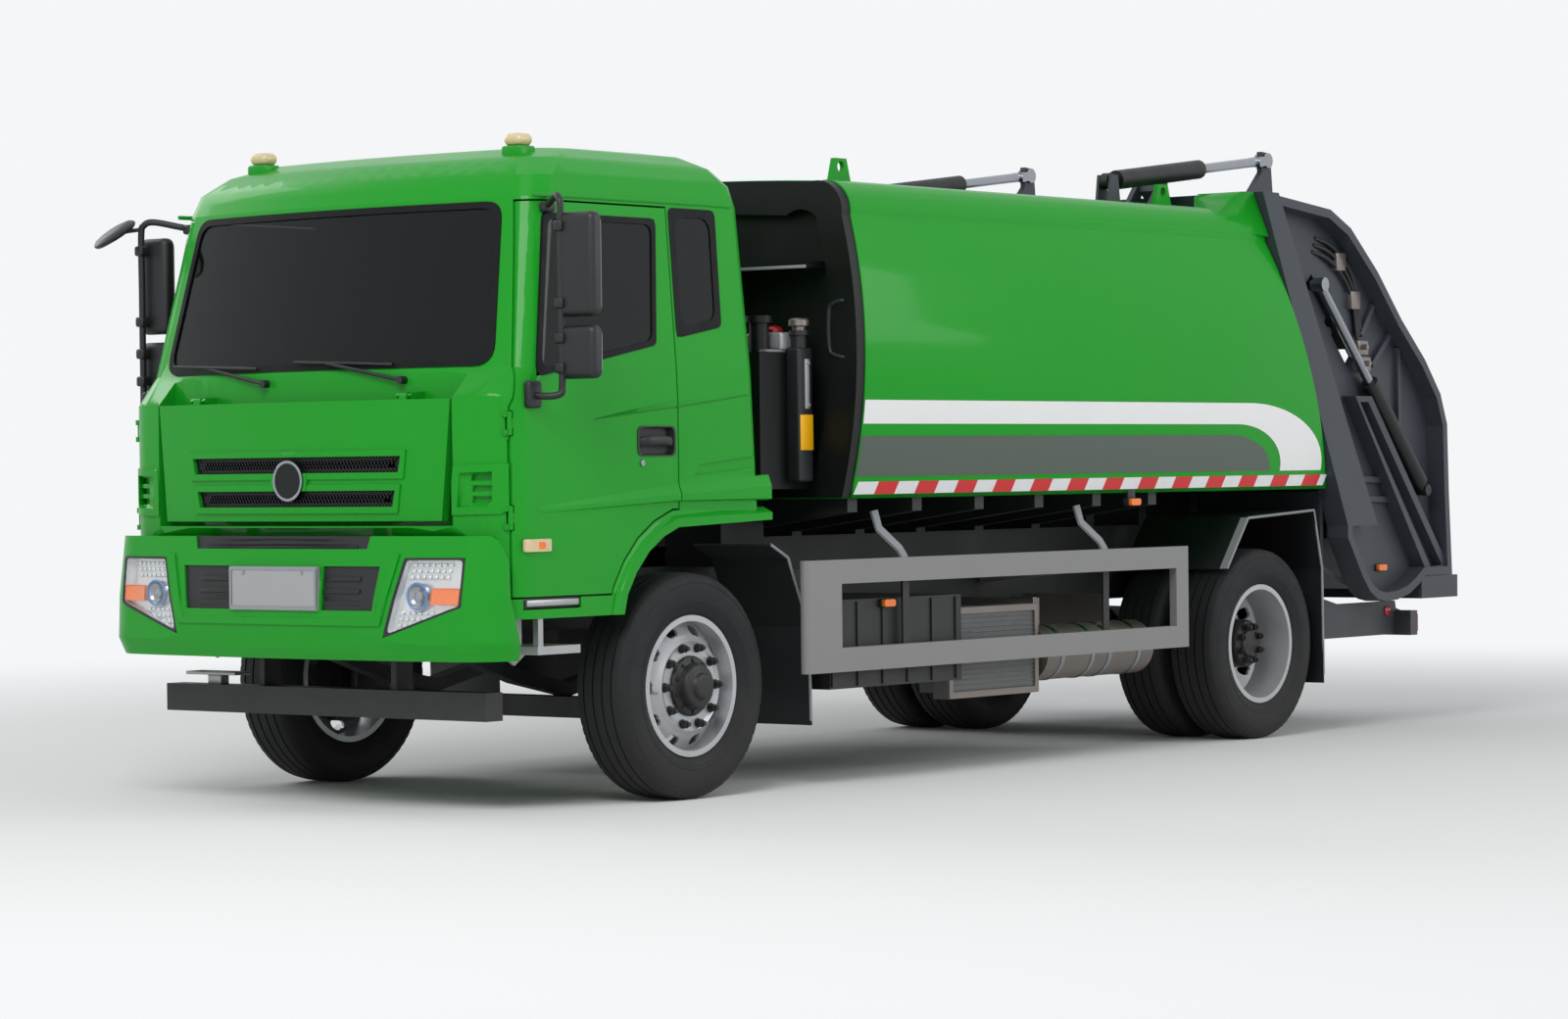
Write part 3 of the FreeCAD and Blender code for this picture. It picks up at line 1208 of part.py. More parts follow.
def gate_shell_shape():
    half = size.gate_plate_y + 2
    cover = [(ax(-4800), 2725), (ax(-5034), 2675), (ax(-5234), 2587), (ax(-5503), 2370), (ax(-5741), 2128), (ax(-5870), 2018),
             (ax(-5855), 1990), (ax(-5720), 2105), (ax(-5483), 2345), (ax(-5220), 2560), (ax(-5027), 2643), (ax(-4800), 2690)]
    roof = prism(cover, -half, half)
    slope = (size.body_rear_low_back - size.body_rear_top_back) / (size.body_top - size.body_bottom)
    low_x = ax(-size.body_rear_low_back) - size.gate_gap
    header_top = low_x + slope * (2745 - size.body_bottom)
    header_low = low_x + slope * (2560 - size.body_bottom)
    header = prism([(header_top, 2745), (header_top - 160, 2735), (header_top - 330, 2700), (header_low - 240, 2560), (header_low, 2560)],
                   -half, half)
    parts = [roof, header, gate_side(1), gate_side(-1)]
    edge = ax(-size.rear_overhang - size.wheelbase)
    sill = prism([(ax(-6215), 770), (edge, 770), (edge, 1200), (ax(-6240), 1240), (ax(-6200), 1215), (ax(-6230), 1100)],
                 -half, half)
    channel = prism([(ax(-5930), 663), (edge, 663), (edge, 781), (ax(-5930), 781)], -size.gate_rim_y, size.gate_rim_y)
    channel = channel.cut(prism([(ax(-5945), 650), (edge + 15, 650), (edge + 15, 766), (ax(-5945), 766)], -1180, 1180))
    parts += [sill, channel]
    hinge = hinge_point()
    eye = V(ax(-size.lift_eye_back), 0, size.lift_eye_height)
    bores = []
    for side in (1, -1):
        low, high = sorted((side * 516, side * 614))
        ear = prism([(hinge.x - 30, hinge.z + 26), (hinge.x + 20, hinge.z + 26), (hinge.x + 30, hinge.z - 12),
                     (hinge.x - 12, 2735), (hinge.x - 120, 2730)], low, high)
        parts.append(ear)
        bores.append(cylinder(22 + size.bearing_gap, V(hinge.x, low - 5, hinge.z), V(hinge.x, high + 5, hinge.z)))
        low, high = sorted((side * (size.lift_y - 15), side * (size.lift_y + 15)))
        ear = prism([(eye.x - 45, eye.z + 40), (eye.x + 38, eye.z + 46), (eye.x + 38, eye.z - 60), (ax(-4900), 2700),
                     (ax(-5234), 2585)], low, high)
        parts.append(ear)
    return parts[0].fuse(parts[1:]).cut(bores[0].fuse(bores[1]))


keep("tailgate_shell", solid("tailgate_shell", gate_shell_shape()))


def trough_shape():
    """Hopper: a curved plate about the packer's lowest pivot, run up to the body floor and the sill."""
    centre = along(-size.packer_drop - size.packer_stroke)
    half = size.gate_plate_y - size.bearing_gap
    mid = V(centre[0], 0, centre[1])
    full = cylinder(size.trough_radius + size.trough_wall, mid - V(0, half, 0), mid + V(0, half, 0))
    full = full.cut(cylinder(size.trough_radius, mid - V(0, half + 5, 0), mid + V(0, half + 5, 0)))
    keep_zone = prism([(centre[0], centre[1] - 380), (ax(-6190), 1090), (ax(-6190), 600), (ax(-5110), 600), (ax(-5110), 1000)],
                      -half, half)
    apron = prism([(ax(-5110), 830), (ax(-5110), 1240), (ax(-5140), 1240), (ax(-5140), 820)], -half, half)
    return full.common(keep_zone).fuse(apron)


keep("hopper_trough", solid("hopper_trough", trough_shape()))


def packer_barrel_shape():
    """Outside slide cylinders: a foot eye and a barrel along the slide line, one a side."""
    foot_distance = -math.hypot(size.packer_foot_back - size.packer_eye_back, size.packer_foot_height - size.packer_eye_height)
    radius = size.barrel_radius
    y = size.gate_plate_y + size.gate_plate_wall + radius + 8
    parts = []
    for side in (1, -1):
        points = [V(*(along(d)[0], side * y, along(d)[1])) for d in (foot_distance, foot_distance + 60, foot_distance + 790)]
        pin = cylinder(30, V(points[0].x, side * (size.gate_plate_y + size.gate_plate_wall), points[0].z),
                       V(points[0].x, side * (y + 32), points[0].z))
        barrel = cylinder(radius, points[1], points[2])
        neck = cylinder(26, points[0], points[1])
        bore = cylinder(size.rod_radius + size.bearing_gap, points[1] + (points[2] - points[1]) * 0.04,
                        points[2] + (points[2] - points[1]) * 0.01)
        parts.append(pin.fuse([neck, barrel]).cut(bore))
    return Part.makeCompound(parts)


keep("packer_barrels", solid("packer_barrels", packer_barrel_shape()))


def packer_rod_shape():
    foot_distance = -math.hypot(size.packer_foot_back - size.packer_eye_back, size.packer_foot_height - size.packer_eye_height)
    y = size.gate_plate_y + size.gate_plate_wall + size.barrel_radius + 8
    parts = []
    for side in (1, -1):
        start = along(foot_distance + 60 + 40 + size.packer_stroke + 20)
        end = along(0)
        bar = cylinder(size.rod_radius, V(start[0], side * y, start[1]), V(end[0], side * y, end[1]))
        eye = cylinder(36, V(end[0], side * (y - 30), end[1]), V(end[0], side * (y + 32), end[1]))
        pin = cylinder(30, V(end[0], side * (size.gate_plate_y - 20), end[1]), V(end[0], side * (y - 20), end[1]))
        parts.append(bar.fuse([eye, pin]))
    return Part.makeCompound(parts)


keep("packer_rods", solid("packer_rods", packer_rod_shape()))


def carriage_shape():
    half = size.gate_plate_y - 12
    slab = beam(-size.packer_drop + 70, 190, -50, 50, -half, half)
    pocket = beam(-size.packer_drop + 110, 150, -60, 20, -half + 60, half - 60)
    slab = slab.cut(pocket)
    pivot = along(-size.packer_drop)
    ears = []
    for y in (-900, -300, 300, 900):
        ring = cylinder(48, V(pivot[0], y - 20, pivot[1]), V(pivot[0], y + 20, pivot[1]))
        ears += [ring, beam(-size.packer_drop, -size.packer_drop + 80, -45, 45, y - 20, y + 20)]
    pin = cylinder(28, V(pivot[0], -half, pivot[1]), V(pivot[0], half, pivot[1]))
    bosses = []
    for side in (1, -1):
        bosses.append(cylinder(45, V(*(along(0)[0], side * (half - 40), along(0)[1])), V(*(along(0)[0], side * (half + 4), along(0)[1]))))
    bore = [cylinder(30 + size.bearing_gap, V(along(0)[0], side * (half - 60), along(0)[1]),
                     V(along(0)[0], side * (half + 60), along(0)[1])) for side in (1, -1)]
    shape = slab.fuse(ears + [pin] + bosses)
    for hole in bore:
        shape = shape.cut(hole)
    return shape


keep("packer_carriage", solid("packer_carriage", carriage_shape()))


def blade_shape():
    """Packer blade: a bent plate on its pivot tubes, hanging down to the trough."""
    half = size.gate_plate_y - 20
    pivot = along(-size.packer_drop)
    reach = size.blade_length
    lean = math.radians(-100)
    along_x, along_z = math.cos(lean), math.sin(lean)

    def spot(distance, offset):
        return (pivot[0] + distance * along_x - offset * along_z, pivot[1] + distance * along_z + offset * along_x)

    slab = prism([spot(20, -30), spot(0.6 * reach, -45), spot(reach, 10), spot(reach, 34), spot(0.6 * reach, 0), spot(20, 34)],
                 -half, half)
    parts = [slab]
    for low, high in ((-870, -330), (-270, 270), (330, 870)):
        parts.append(cylinder(46, V(pivot[0], low, pivot[1]), V(pivot[0], high, pivot[1])))
    shape = parts[0].fuse(parts[1:])
    for y in (-900, -300, 300, 900):
        clear = cylinder(60, V(pivot[0], y - 29, pivot[1]), V(pivot[0], y + 29, pivot[1]))
        shape = shape.cut(clear)
    for y in (-1, 1):
        shape = shape.cut(cylinder(60, V(pivot[0], y * 870, pivot[1]), V(pivot[0], y * (half + 10), pivot[1])))
    return shape.cut(cylinder(28 + size.bearing_gap, V(pivot[0], -half, pivot[1]), V(pivot[0], half, pivot[1])))


keep("packer_blade", solid("packer_blade", blade_shape()))


# Lift cylinders on the body roof.
def lift_points():
    foot = V(ax(-size.lift_foot_back), size.lift_y, size.lift_foot_height)
    eye = V(ax(-size.lift_eye_back), size.lift_y, size.lift_eye_height)
    return foot, eye


def lift_barrel_shape():
    foot, eye = lift_points()
    line = (eye - foot).normalize()
    barrel = cylinder(48, foot + line * 70, foot + line * 830)
    ring = cylinder(40, foot - V(0, 22, 0), foot + V(0, 22, 0)).cut(cylinder(20 + size.bearing_gap, foot - V(0, 40, 0), foot + V(0, 40, 0)))
    neck = cylinder(28, foot + line * 34, foot + line * 72)
    bore = cylinder(size.rod_radius + size.bearing_gap, foot + line * 100, foot + line * 840)
    left = barrel.fuse([ring, neck]).cut(bore)
    return Part.makeCompound([left, flip(left)])


def lift_rod_shape():
    foot, eye = lift_points()
    line = (eye - foot).normalize()
    bar = cylinder(size.rod_radius, foot + line * 620, eye - line * 60)
    cheeks = []
    for sign in (1, -1):
        y = size.lift_y + sign * 28
        low, high = sorted((y - 7, y + 7))
        cheek = cylinder(38, V(eye.x, low, eye.z), V(eye.x, high, eye.z))
        start = eye - line * 85
        web = prism([(start.x, start.z - 25), (eye.x, eye.z - 25), (eye.x, eye.z + 25), (start.x, start.z + 25)], low, high)
        cheeks.append(cheek.fuse(web))
    start = eye - line * 85
    bridge = prism([(start.x + 2, start.z - 25), (start.x - 24, start.z - 25), (start.x - 24, start.z + 25), (start.x + 2, start.z + 25)],
                   size.lift_y - 35, size.lift_y + 35)
    left = bar.fuse(cheeks + [bridge])
    return Part.makeCompound([left, flip(left)])


keep("lift_barrels", solid("lift_barrels", lift_barrel_shape()))
keep("lift_rods", solid("lift_rods", lift_rod_shape()))


def lift_foot_shape():
    foot, _ = lift_points()
    parts = []
    for side in (1, -1):
        for offset in (-42, 28):
            low, high = sorted((side * (foot.y + offset), side * (foot.y + offset + 14)))
            parts.append(prism([(foot.x - 60, size.body_top - 80), (foot.x - 30, foot.z + 30), (foot.x + 30, foot.z + 30),
                                (foot.x + 60, size.body_top - 80)], low, high).cut(body_block))
        low, high = sorted((side * (foot.y - 42), side * (foot.y + 42)))
        parts.append(cylinder(20, V(foot.x, low, foot.z), V(foot.x, high, foot.z)))
    return parts[0].fuse(parts[1:])


keep("roof_brackets", solid("roof_brackets", lift_foot_shape().fuse(hinge_lug_shape())))


# Side guards, mudguards and what hangs on the frame.
def guard_shape(side):
    y = size.guard_y
    limits = sorted((side * y, side * (y - 40)))
    front = ax(-size.guard_front_back)
    rear = ax(-size.guard_rear_back)
    bar = size.guard_bar
    ring = prism([(rear, size.guard_bottom), (front, size.guard_bottom), (front, size.guard_top), (rear, size.guard_top)], *limits)
    corner = [edge for edge in ring.Edges if abs(edge.CenterOfMass.x - front) < 1 and abs(edge.CenterOfMass.y - side * y) < 1
              and edge.Length > 100]
    ring = ring.makeFillet(36, corner)
    hole = prism([(rear + bar, size.guard_bottom + bar), (front - 2.3 * bar, size.guard_bottom + bar),
                  (front - 2.3 * bar, size.guard_top - bar), (rear + bar, size.guard_top - bar)], *sorted((side * (y + 5), side * (y - 60))))
    return ring.cut(hole)


def guard_strut_shape():
    parts = []
    for back in (1150, 3080):
        x = ax(-back)
        for side in (1, -1):
            arm = [(side * size.rail_outer, size.rail_top - 140), (side * (size.guard_y - 40), 900), (side * (size.guard_y - 40), 985),
                   (side * (size.guard_y - 90), 985), (side * (size.rail_outer + 60), size.rail_top - 60), (side * size.rail_outer, size.rail_top - 60)]
            corners = [V(x, y, z) for y, z in arm]
            parts.append(Part.Face(Part.makePolygon(corners + corners[:1])).extrude(V(50, 0, 0)))
    return Part.makeCompound(parts)


keep("side_guards", solid("side_guards", guard_shape(1).fuse([guard_shape(-1), guard_strut_shape()])))


def mudguard_shape(points, wall, low, high, stay_x, stay_z, stay_top):
    """A bent sheet over an outline of its outer face, both sides, with a stay to the rail."""
    parts = []
    for side in (1, -1):
        limits = sorted((side * low, side * high))
        for start, end in zip(points[:-1], points[1:]):
            dx, dz = end[0] - start[0], end[1] - start[1]
            length = math.hypot(dx, dz)
            nx, nz = -dz / length * wall, dx / length * wall
            parts.append(prism([start, end, (end[0] + nx, end[1] + nz), (start[0] + nx, start[1] + nz)], *limits))
        stay = sorted((side * size.rail_outer, side * (low + 20)))
        parts.append(box((stay_x, stay_x + 50), stay, (stay_z, stay_z + 50)))
        parts.append(box((stay_x, stay_x + 50), sorted((side * low, side * (low + 20))), (stay_z, stay_top)))
    return parts[0].fuse(parts[1:])


front_guard = [(ax(-520), 1060), (ax(-640), 1000), (ax(-780), 700), (ax(-790), 270)]
keep("front_mudguards", solid("front_mudguards", mudguard_shape(front_guard, -8, 700, 1130, ax(-760), 800, 850)))
rear_guard = [(ax(-4150), 900), (ax(-4350), 1150), (ax(-4980), 1180), (ax(-5065), 880), (ax(-5065), 290)]
rear_guard = [(x, z - 35) for x, z in rear_guard]
keep("rear_mudguards", solid("rear_mudguards", mudguard_shape(rear_guard, 8, 520, 1140, ax(-4860), 880, 1134)))

def battery_case(side, label, back, ribs):
    """A case of bound faces, with upright ribs on its outer face."""
    face = "guard_y - 80"
    case_y = ("rail_outer + 0.3", face) if side > 0 else ("-%s" % face.replace("-", "+"), "-rail_outer - 0.3")
    rib_y = (face + " - 4", face + " + 8") if side > 0 else ("-guard_y + 72", "-guard_y + 84")
    items = [block("battery_case_" + label, ("AXLE - %d" % back, "AXLE - 900"), case_y, ("420", "810"))]
    step = (back - 900 - 60) / (ribs - 1)
    for index in range(ribs):
        low = back - 10 - index * step
        items.append(block("battery_rib_%s_%d" % (label, index), ("AXLE - %g" % low, "AXLE - %g" % (low - 40)), rib_y,
                           ("430", "800")))
    return joined("battery_case_all_" + label, items)


keep("battery_cases", grouped("battery_cases", [battery_case(1, "left", 1880, 6), battery_case(-1, "right", 3400, 12)]))
keep("radiator", joined("radiator", [
    block("radiator_core", ("AXLE - 2634", "AXLE - 1920"), ("960", "1040"), ("324", "742")),
    block("radiator_bracket", ("AXLE - 2300", "AXLE - 2250"), ("rail_outer", "961"), ("rail_top - 240", "rail_top - 220")),
    block("radiator_cowl", ("AXLE - 2600", "AXLE - 1950"), ("860", "960"), ("350", "722")),
]))
tanks = [rod("air_tank_outer", "x", "130", ("AXLE - 3600", "930", "500"), "900"),
         block("tank_bracket_rear", ("AXLE - 3450", "AXLE - 3410"), ("rail_outer", "900"), ("560", "rail_top - 200")),
         block("tank_bracket_front", ("AXLE - 2860", "AXLE - 2820"), ("rail_outer", "900"), ("560", "rail_top - 200"))]
keep("air_tanks", joined("air_tanks", tanks))

# Oil tank with its filler on a bracket ahead of the body, left side.
keep("oil_tank", joined("oil_tank", [
    block("oil_tank_case", ("AXLE - body_front_back + 60.3", "AXLE - body_front_back + 400"), ("560", "960"), ("1300", "1900")),
    rod("oil_filler", "z", "45", ("AXLE - body_front_back + 300", "880", "1890"), "150"),
    rod("oil_filler_cap", "z", "60", ("AXLE - body_front_back + 300", "880", "2030"), "30"),
    block("oil_tank_foot", ("AXLE - body_front_back + 60.3", "AXLE - body_front_back + 360"), ("380", "700"), ("rail_top", "1310")),
]))


# Cab steps hung below the sill.
def step_shape():
    parts = []
    top = size.sill_bottom - size.bearing_gap
    for side in (1, -1):
        tread = box((ax(690), ax(952)), sorted((side * 850, side * 1095)), (648, 682))
        outer_stay = box((ax(912), ax(942)), sorted((side * 1062, side * 1090)), (670, top))
        inner_stay = box((ax(800), ax(880)), sorted((side * 860, side * 872)), (670, top + 4))
        web = prism([(ax(760), 650), (ax(930), 650), (ax(845), 596)], *sorted((side * 860, side * 872)))
        rail_low = size.rail_top - size.rail_height
        arm = box((ax(830), ax(880)), sorted((side * size.rail_outer, side * 866)), (rail_low, rail_low + 40))
        parts.append(tread.fuse([outer_stay, inner_stay, web, arm]))
    return Part.makeCompound(parts)


keep("cab_steps", solid("cab_steps", step_shape()))


# Rear underrun bar below the hopper, on two arms from the rails, with the tail lamps on it.
def rear_guard_shape():
    rear = ax(-size.rail_rear_back)
    arms = []
    for side in (1, -1):
        y = sorted((side * (size.rail_outer - size.rail_flange), side * (size.rail_outer - size.rail_flange + 30)))
        arms.append(prism([(rear - 0.3, 700), (rear - 0.3, 800), (rear - 60, 640), (ax(-5900), 600), (ax(-5900), 480), (rear - 100, 480)], *y))
    bar = box((ax(-5950), ax(-5880)), (-1180, 1180), (470, 600))
    cross = box((ax(-5170), ax(-5110)), (-1080, 1080), (500, 560))
    sides = [prism([(ax(-5085), 700), (ax(-5085), 475), (ax(-5949), 475), (ax(-5949), 600), (ax(-5900), 612), (ax(-5890), 652),
                    (ax(-5300), 652)], *sorted((side * 1066, side * 1080))) for side in (1, -1)]
    return bar.fuse(arms + [cross] + sides)


keep("rear_underrun", solid("rear_underrun", rear_guard_shape()))
lamps = []
for place, low, high in (("left", "900", "1170"), ("right", "-1170", "-900")):
    lamps.append(block("tail_lamp_" + place, ("AXLE - 5975", "AXLE - 5950"), (low, high), ("490", "580")))
keep("tail_lamps", grouped("tail_lamps", lamps))


# The packing ejector plate inside the body.
def ejector_shape():
    front = ax(-size.body_front_back) - size.body_wall - 30
    face = Part.Face(body_section(front, size.body_wall + 12)).extrude(V(-40, 0, 0))
    floor = size.body_bottom + size.body_wall
    shoes = [box((front - 240, front), (y - 50, y + 50), (floor + size.bearing_gap, floor + 60)) for y in (-800, 800)]
    return face.fuse(shoes)


keep("ejector_plate", solid("ejector_plate", ejector_shape()))


# Every object must have worked out before anything is written.
doc.recompute()
for item in doc.Objects:
    if "Invalid" in item.State or "Error" in item.State:
        raise RuntimeError("%s: %s" % (item.Label, item.State))
os.makedirs("parts", exist_ok=True)
for name, item in nodes.items():
    if item.Shape.isNull() or not item.Shape.isValid():
        raise RuntimeError("bad shape: " + name)
for name, item in nodes.items():
    item.Shape.exportStep("parts/%s.step" % name)
print(len(nodes), "sub-parts")
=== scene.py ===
import math

import bmesh
import bpy
import numpy as np
from bpy.props import FloatProperty, FloatVectorProperty
from mathutils import Matrix, Vector
from mathutils.bvhtree import BVHTree


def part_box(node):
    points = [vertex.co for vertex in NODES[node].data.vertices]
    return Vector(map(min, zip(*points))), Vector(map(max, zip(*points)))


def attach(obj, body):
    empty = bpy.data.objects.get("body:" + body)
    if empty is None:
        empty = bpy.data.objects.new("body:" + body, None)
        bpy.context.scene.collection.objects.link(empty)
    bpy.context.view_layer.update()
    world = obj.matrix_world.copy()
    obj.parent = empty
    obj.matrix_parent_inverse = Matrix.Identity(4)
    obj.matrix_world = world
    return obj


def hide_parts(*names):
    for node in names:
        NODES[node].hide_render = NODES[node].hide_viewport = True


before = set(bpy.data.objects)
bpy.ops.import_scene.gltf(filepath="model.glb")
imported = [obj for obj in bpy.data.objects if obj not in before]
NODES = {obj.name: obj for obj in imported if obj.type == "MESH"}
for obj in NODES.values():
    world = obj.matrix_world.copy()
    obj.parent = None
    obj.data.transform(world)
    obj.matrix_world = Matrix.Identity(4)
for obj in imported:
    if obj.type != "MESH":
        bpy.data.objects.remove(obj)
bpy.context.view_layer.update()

bl_info = {
    "name": "Garbage truck finish",
    "version": (1, 0, 0),
    "blender": (4, 5, 0),
    "location": "3D View > Sidebar > Truck",
    "description": "Gives the packed frame of a rear loading garbage truck its finishes and small pieces",
    "category": "Object",
}


def span(node):
    """Lowest and highest corner of a node as two arrays."""
    low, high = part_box(node)
    return np.array(low), np.array(high)


# Places that the rest is worked out from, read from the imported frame.
TYRE_LOW, TYRE_HIGH = span("tyre_front_left")
AXLE = (TYRE_LOW[0] + TYRE_HIGH[0]) / 2
TYRE_RADIUS = (TYRE_HIGH[2] - TYRE_LOW[2]) / 2
TYRE_WIDTH = TYRE_HIGH[1] - TYRE_LOW[1]
WHEEL_PLANE = (TYRE_LOW[1] + TYRE_HIGH[1]) / 2
TWIN_LOW, TWIN_HIGH = span("tyres_rear_left")
REAR_AXLE = (TWIN_LOW[0] + TWIN_HIGH[0]) / 2
TWIN_PITCH = TWIN_HIGH[1] - TWIN_LOW[1] - TYRE_WIDTH

# The truck's two sides, and places clear of everything, where a line towards the truck starts.
SIDES = (("left", 1), ("right", -1))
OUTSIDE = 1.9
IN_FRONT = 4.4


def ahead(distance):
    """X of a place this far ahead of the front axle."""
    return AXLE + distance


def linear(code):
    """Linear red, green and blue of an sRGB hex colour."""
    values = [int(code[place:place + 2], 16) / 255 for place in (1, 3, 5)]
    return [value / 12.92 if value <= 0.04045 else ((value + 0.055) / 1.055) ** 2.4 for value in values]


class TruckColours(bpy.types.PropertyGroup):
    """Colours that a user would change."""
    livery: FloatVectorProperty(name="Livery", description="Paint of cab and refuse body",
                                subtype="COLOR", default=linear("#179A22"))
    stripe: FloatVectorProperty(name="Stripe", description="Film of the long pale stripe",
                                subtype="COLOR", default=linear("#F0F1F1"))
    band: FloatVectorProperty(name="Band", description="Film of the dark band below the stripe",
                              subtype="COLOR", default=linear("#4D5A50"))
    gate: FloatVectorProperty(name="Tailgate", description="Paint of the tailgate and its mechanism",
                              subtype="COLOR", default=linear("#31363E"))
    guard: FloatVectorProperty(name="Side guard", description="Paint of the side guards",
                               subtype="COLOR", default=linear("#868685"))


class TruckSizes(bpy.types.PropertyGroup):
    """Sizes of the added pieces that a user would change."""
    groove: FloatProperty(name="Tread depth", description="Depth of the tyre's long grooves",
                          default=0.012, unit="LENGTH")
    stripe_top: FloatProperty(name="Stripe top", description="Height of the pale stripe's upper edge",
                              default=1.688, unit="LENGTH")
    tape_block: FloatProperty(name="Tape block", description="Length of one red or white block",
                              default=0.150, unit="LENGTH")
    film: FloatProperty(name="Film", description="How far a film stands off the paint below it",
                        default=0.0012, unit="LENGTH")


def colour(name):
    """A user colour with full opacity."""
    return (*getattr(bpy.context.scene.truck_colours, name), 1.0)


def shade(code):
    """A hex colour with full opacity."""
    return (*linear(code), 1.0)


# Node and finish helpers, and the colour of road dust.
DUST = "#8C8578"


def add(tree, kind, inputs=(), **settings):
    """One node with its settings; an input takes a plain value or another node's output."""
    node = tree.nodes.new(kind)
    for key, value in settings.items():
        setattr(node, key, value)
    for key, value in dict(inputs).items():
        if isinstance(value, bpy.types.NodeSocket):
            tree.links.new(value, node.inputs[key])
        else:
            node.inputs[key].default_value = value
    return node


def shifted(base, factor):
    """The same colour, lighter or darker by a factor."""
    return (*[min(1.0, value * factor) for value in base[:3]], 1.0)


def finish(name, base, rough, patch=0.35, swing=0.06, grain=0.004, bump=0.02, dust=0.0, dust_top=1.1,
           **sockets):
    """A surface whose colour and roughness wander in patches, with a fine grain and dust low down.

    patch and grain are sizes in metres, swing the share that the colour wanders, dust the share of road dust
    at the ground, fading out at dust_top. The other sockets are set on the shader itself.
    """
    material = bpy.data.materials.new(name)
    material.use_nodes = True
    tree = material.node_tree
    shader = tree.nodes["Principled BSDF"]
    place = add(tree, "ShaderNodeTexCoord").outputs["Object"]
    cloud = add(tree, "ShaderNodeTexNoise", {"Vector": place, "Scale": 1 / patch, "Detail": 4.0})
    tint = add(tree, "ShaderNodeMix", {"Factor": cloud.outputs["Fac"], "A": shifted(base, 1 - swing),
                                       "B": shifted(base, 1 + swing)}, data_type="RGBA")
    surface = tint.outputs["Result"]
    if dust:
        split = add(tree, "ShaderNodeSeparateXYZ", {"Vector": place})
        height = add(tree, "ShaderNodeMapRange", {"Value": split.outputs["Z"], "From Min": 0.2,
                                                  "From Max": dust_top, "To Min": dust, "To Max": 0.0})
        speckle = add(tree, "ShaderNodeTexNoise", {"Vector": place, "Scale": 9.0, "Detail": 8.0,
                                                   "Roughness": 0.7})
        share = add(tree, "ShaderNodeMath", {0: height.outputs["Result"], 1: speckle.outputs["Fac"]},
                    operation="MULTIPLY")
        surface = add(tree, "ShaderNodeMix", {"Factor": share.outputs[0], "A": surface, "B": shade(DUST)},
                      data_type="RGBA").outputs["Result"]
    tree.links.new(surface, shader.inputs["Base Color"])
    sheen = add(tree, "ShaderNodeMapRange", {"Value": cloud.outputs["Fac"], "From Min": 0.3, "From Max": 0.7,
                                             "To Min": max(0.02, rough - 0.05),
                                             "To Max": min(1.0, rough + 0.05)})
    tree.links.new(sheen.outputs["Result"], shader.inputs["Roughness"])
    if bump:
        fine = add(tree, "ShaderNodeTexNoise", {"Vector": place, "Scale": 1 / grain, "Detail": 3.0})
        ripple = add(tree, "ShaderNodeBump", {"Height": fine.outputs["Fac"], "Strength": bump,
                                              "Distance": grain / 4})
        tree.links.new(ripple.outputs["Normal"], shader.inputs["Normal"])
    for key, value in sockets.items():
        shader.inputs[key.replace("_", " ").title().replace("Ior", "IOR")].default_value = value
    return material


def livery_paint():
    """Two layer acrylic car paint: a strong green under clear coat, with a spray gun's faint orange peel."""
    return finish("livery_paint", colour("livery"), rough=0.34, patch=0.6, swing=0.03, grain=0.006,
                  bump=0.012, dust=0.06, dust_top=0.9, coat_weight=0.25, coat_roughness=0.04,
                  specular_ior_level=0.12)


def body_paint():
    """The same green sprayed over welded sheet steel: broader, duller waves than on pressed cab panels."""
    return finish("body_paint", colour("livery"), rough=0.36, patch=0.9, swing=0.04, grain=0.010, bump=0.02,
                  dust=0.06, dust_top=1.5, coat_weight=0.22, coat_roughness=0.08, specular_ior_level=0.12)


def gate_paint():
    """Dark grey polyurethane machine paint on plate steel: satin, a little uneven, dusty at the foot."""
    return finish("gate_paint", colour("gate"), rough=0.46, patch=0.3, swing=0.14, grain=0.003, bump=0.05,
                  dust=0.12, dust_top=1.6)


def chassis_paint():
    """Black chassis lacquer over mill scale: satin, with road dust on all that is low."""
    return finish("chassis_paint", shade("#15171A"), rough=0.50, patch=0.2, swing=0.18, grain=0.003,
                  bump=0.06, dust=0.10, dust_top=1.0)


def guard_paint():
    """Silver grey powder coat on aluminium section: even, fine grained and faintly streaked."""
    return finish("guard_paint", colour("guard"), rough=0.40, patch=0.25, swing=0.05, grain=0.0015,
                  bump=0.04, dust=0.08, dust_top=1.0, metallic=0.2)


def moulded_black():
    """Black ABS as moulded: fine leather grain that breaks up the highlights."""
    return finish("moulded_black", shade("#17181B"), rough=0.48, patch=0.2, swing=0.1, grain=0.0016,
                  bump=0.12)


def tyre_rubber():
    """Carbon black rubber: matt, bluish grey, paler where dust lies in its pores."""
    return finish("tyre_rubber", shade("#1C1D1F"), rough=0.72, patch=0.09, swing=0.14, grain=0.0025,
                  bump=0.16, dust=0.05, dust_top=0.6, specular_ior_level=0.35)


def wheel_silver():
    """Aluminium coloured wheel enamel on pressed steel: bright, with brake dust in its lower parts."""
    return finish("wheel_silver", shade("#B9BCBF"), rough=0.34, patch=0.15, swing=0.08, grain=0.002,
                  bump=0.03, dust=0.08, dust_top=0.9, metallic=0.4)


def cast_black():
    """Painted cast iron of hubs and brackets: rough skin under thick black paint."""
    return finish("cast_black", shade("#0D0E10"), rough=0.50, patch=0.05, swing=0.2, grain=0.004, bump=0.25,
                  dust=0.06)


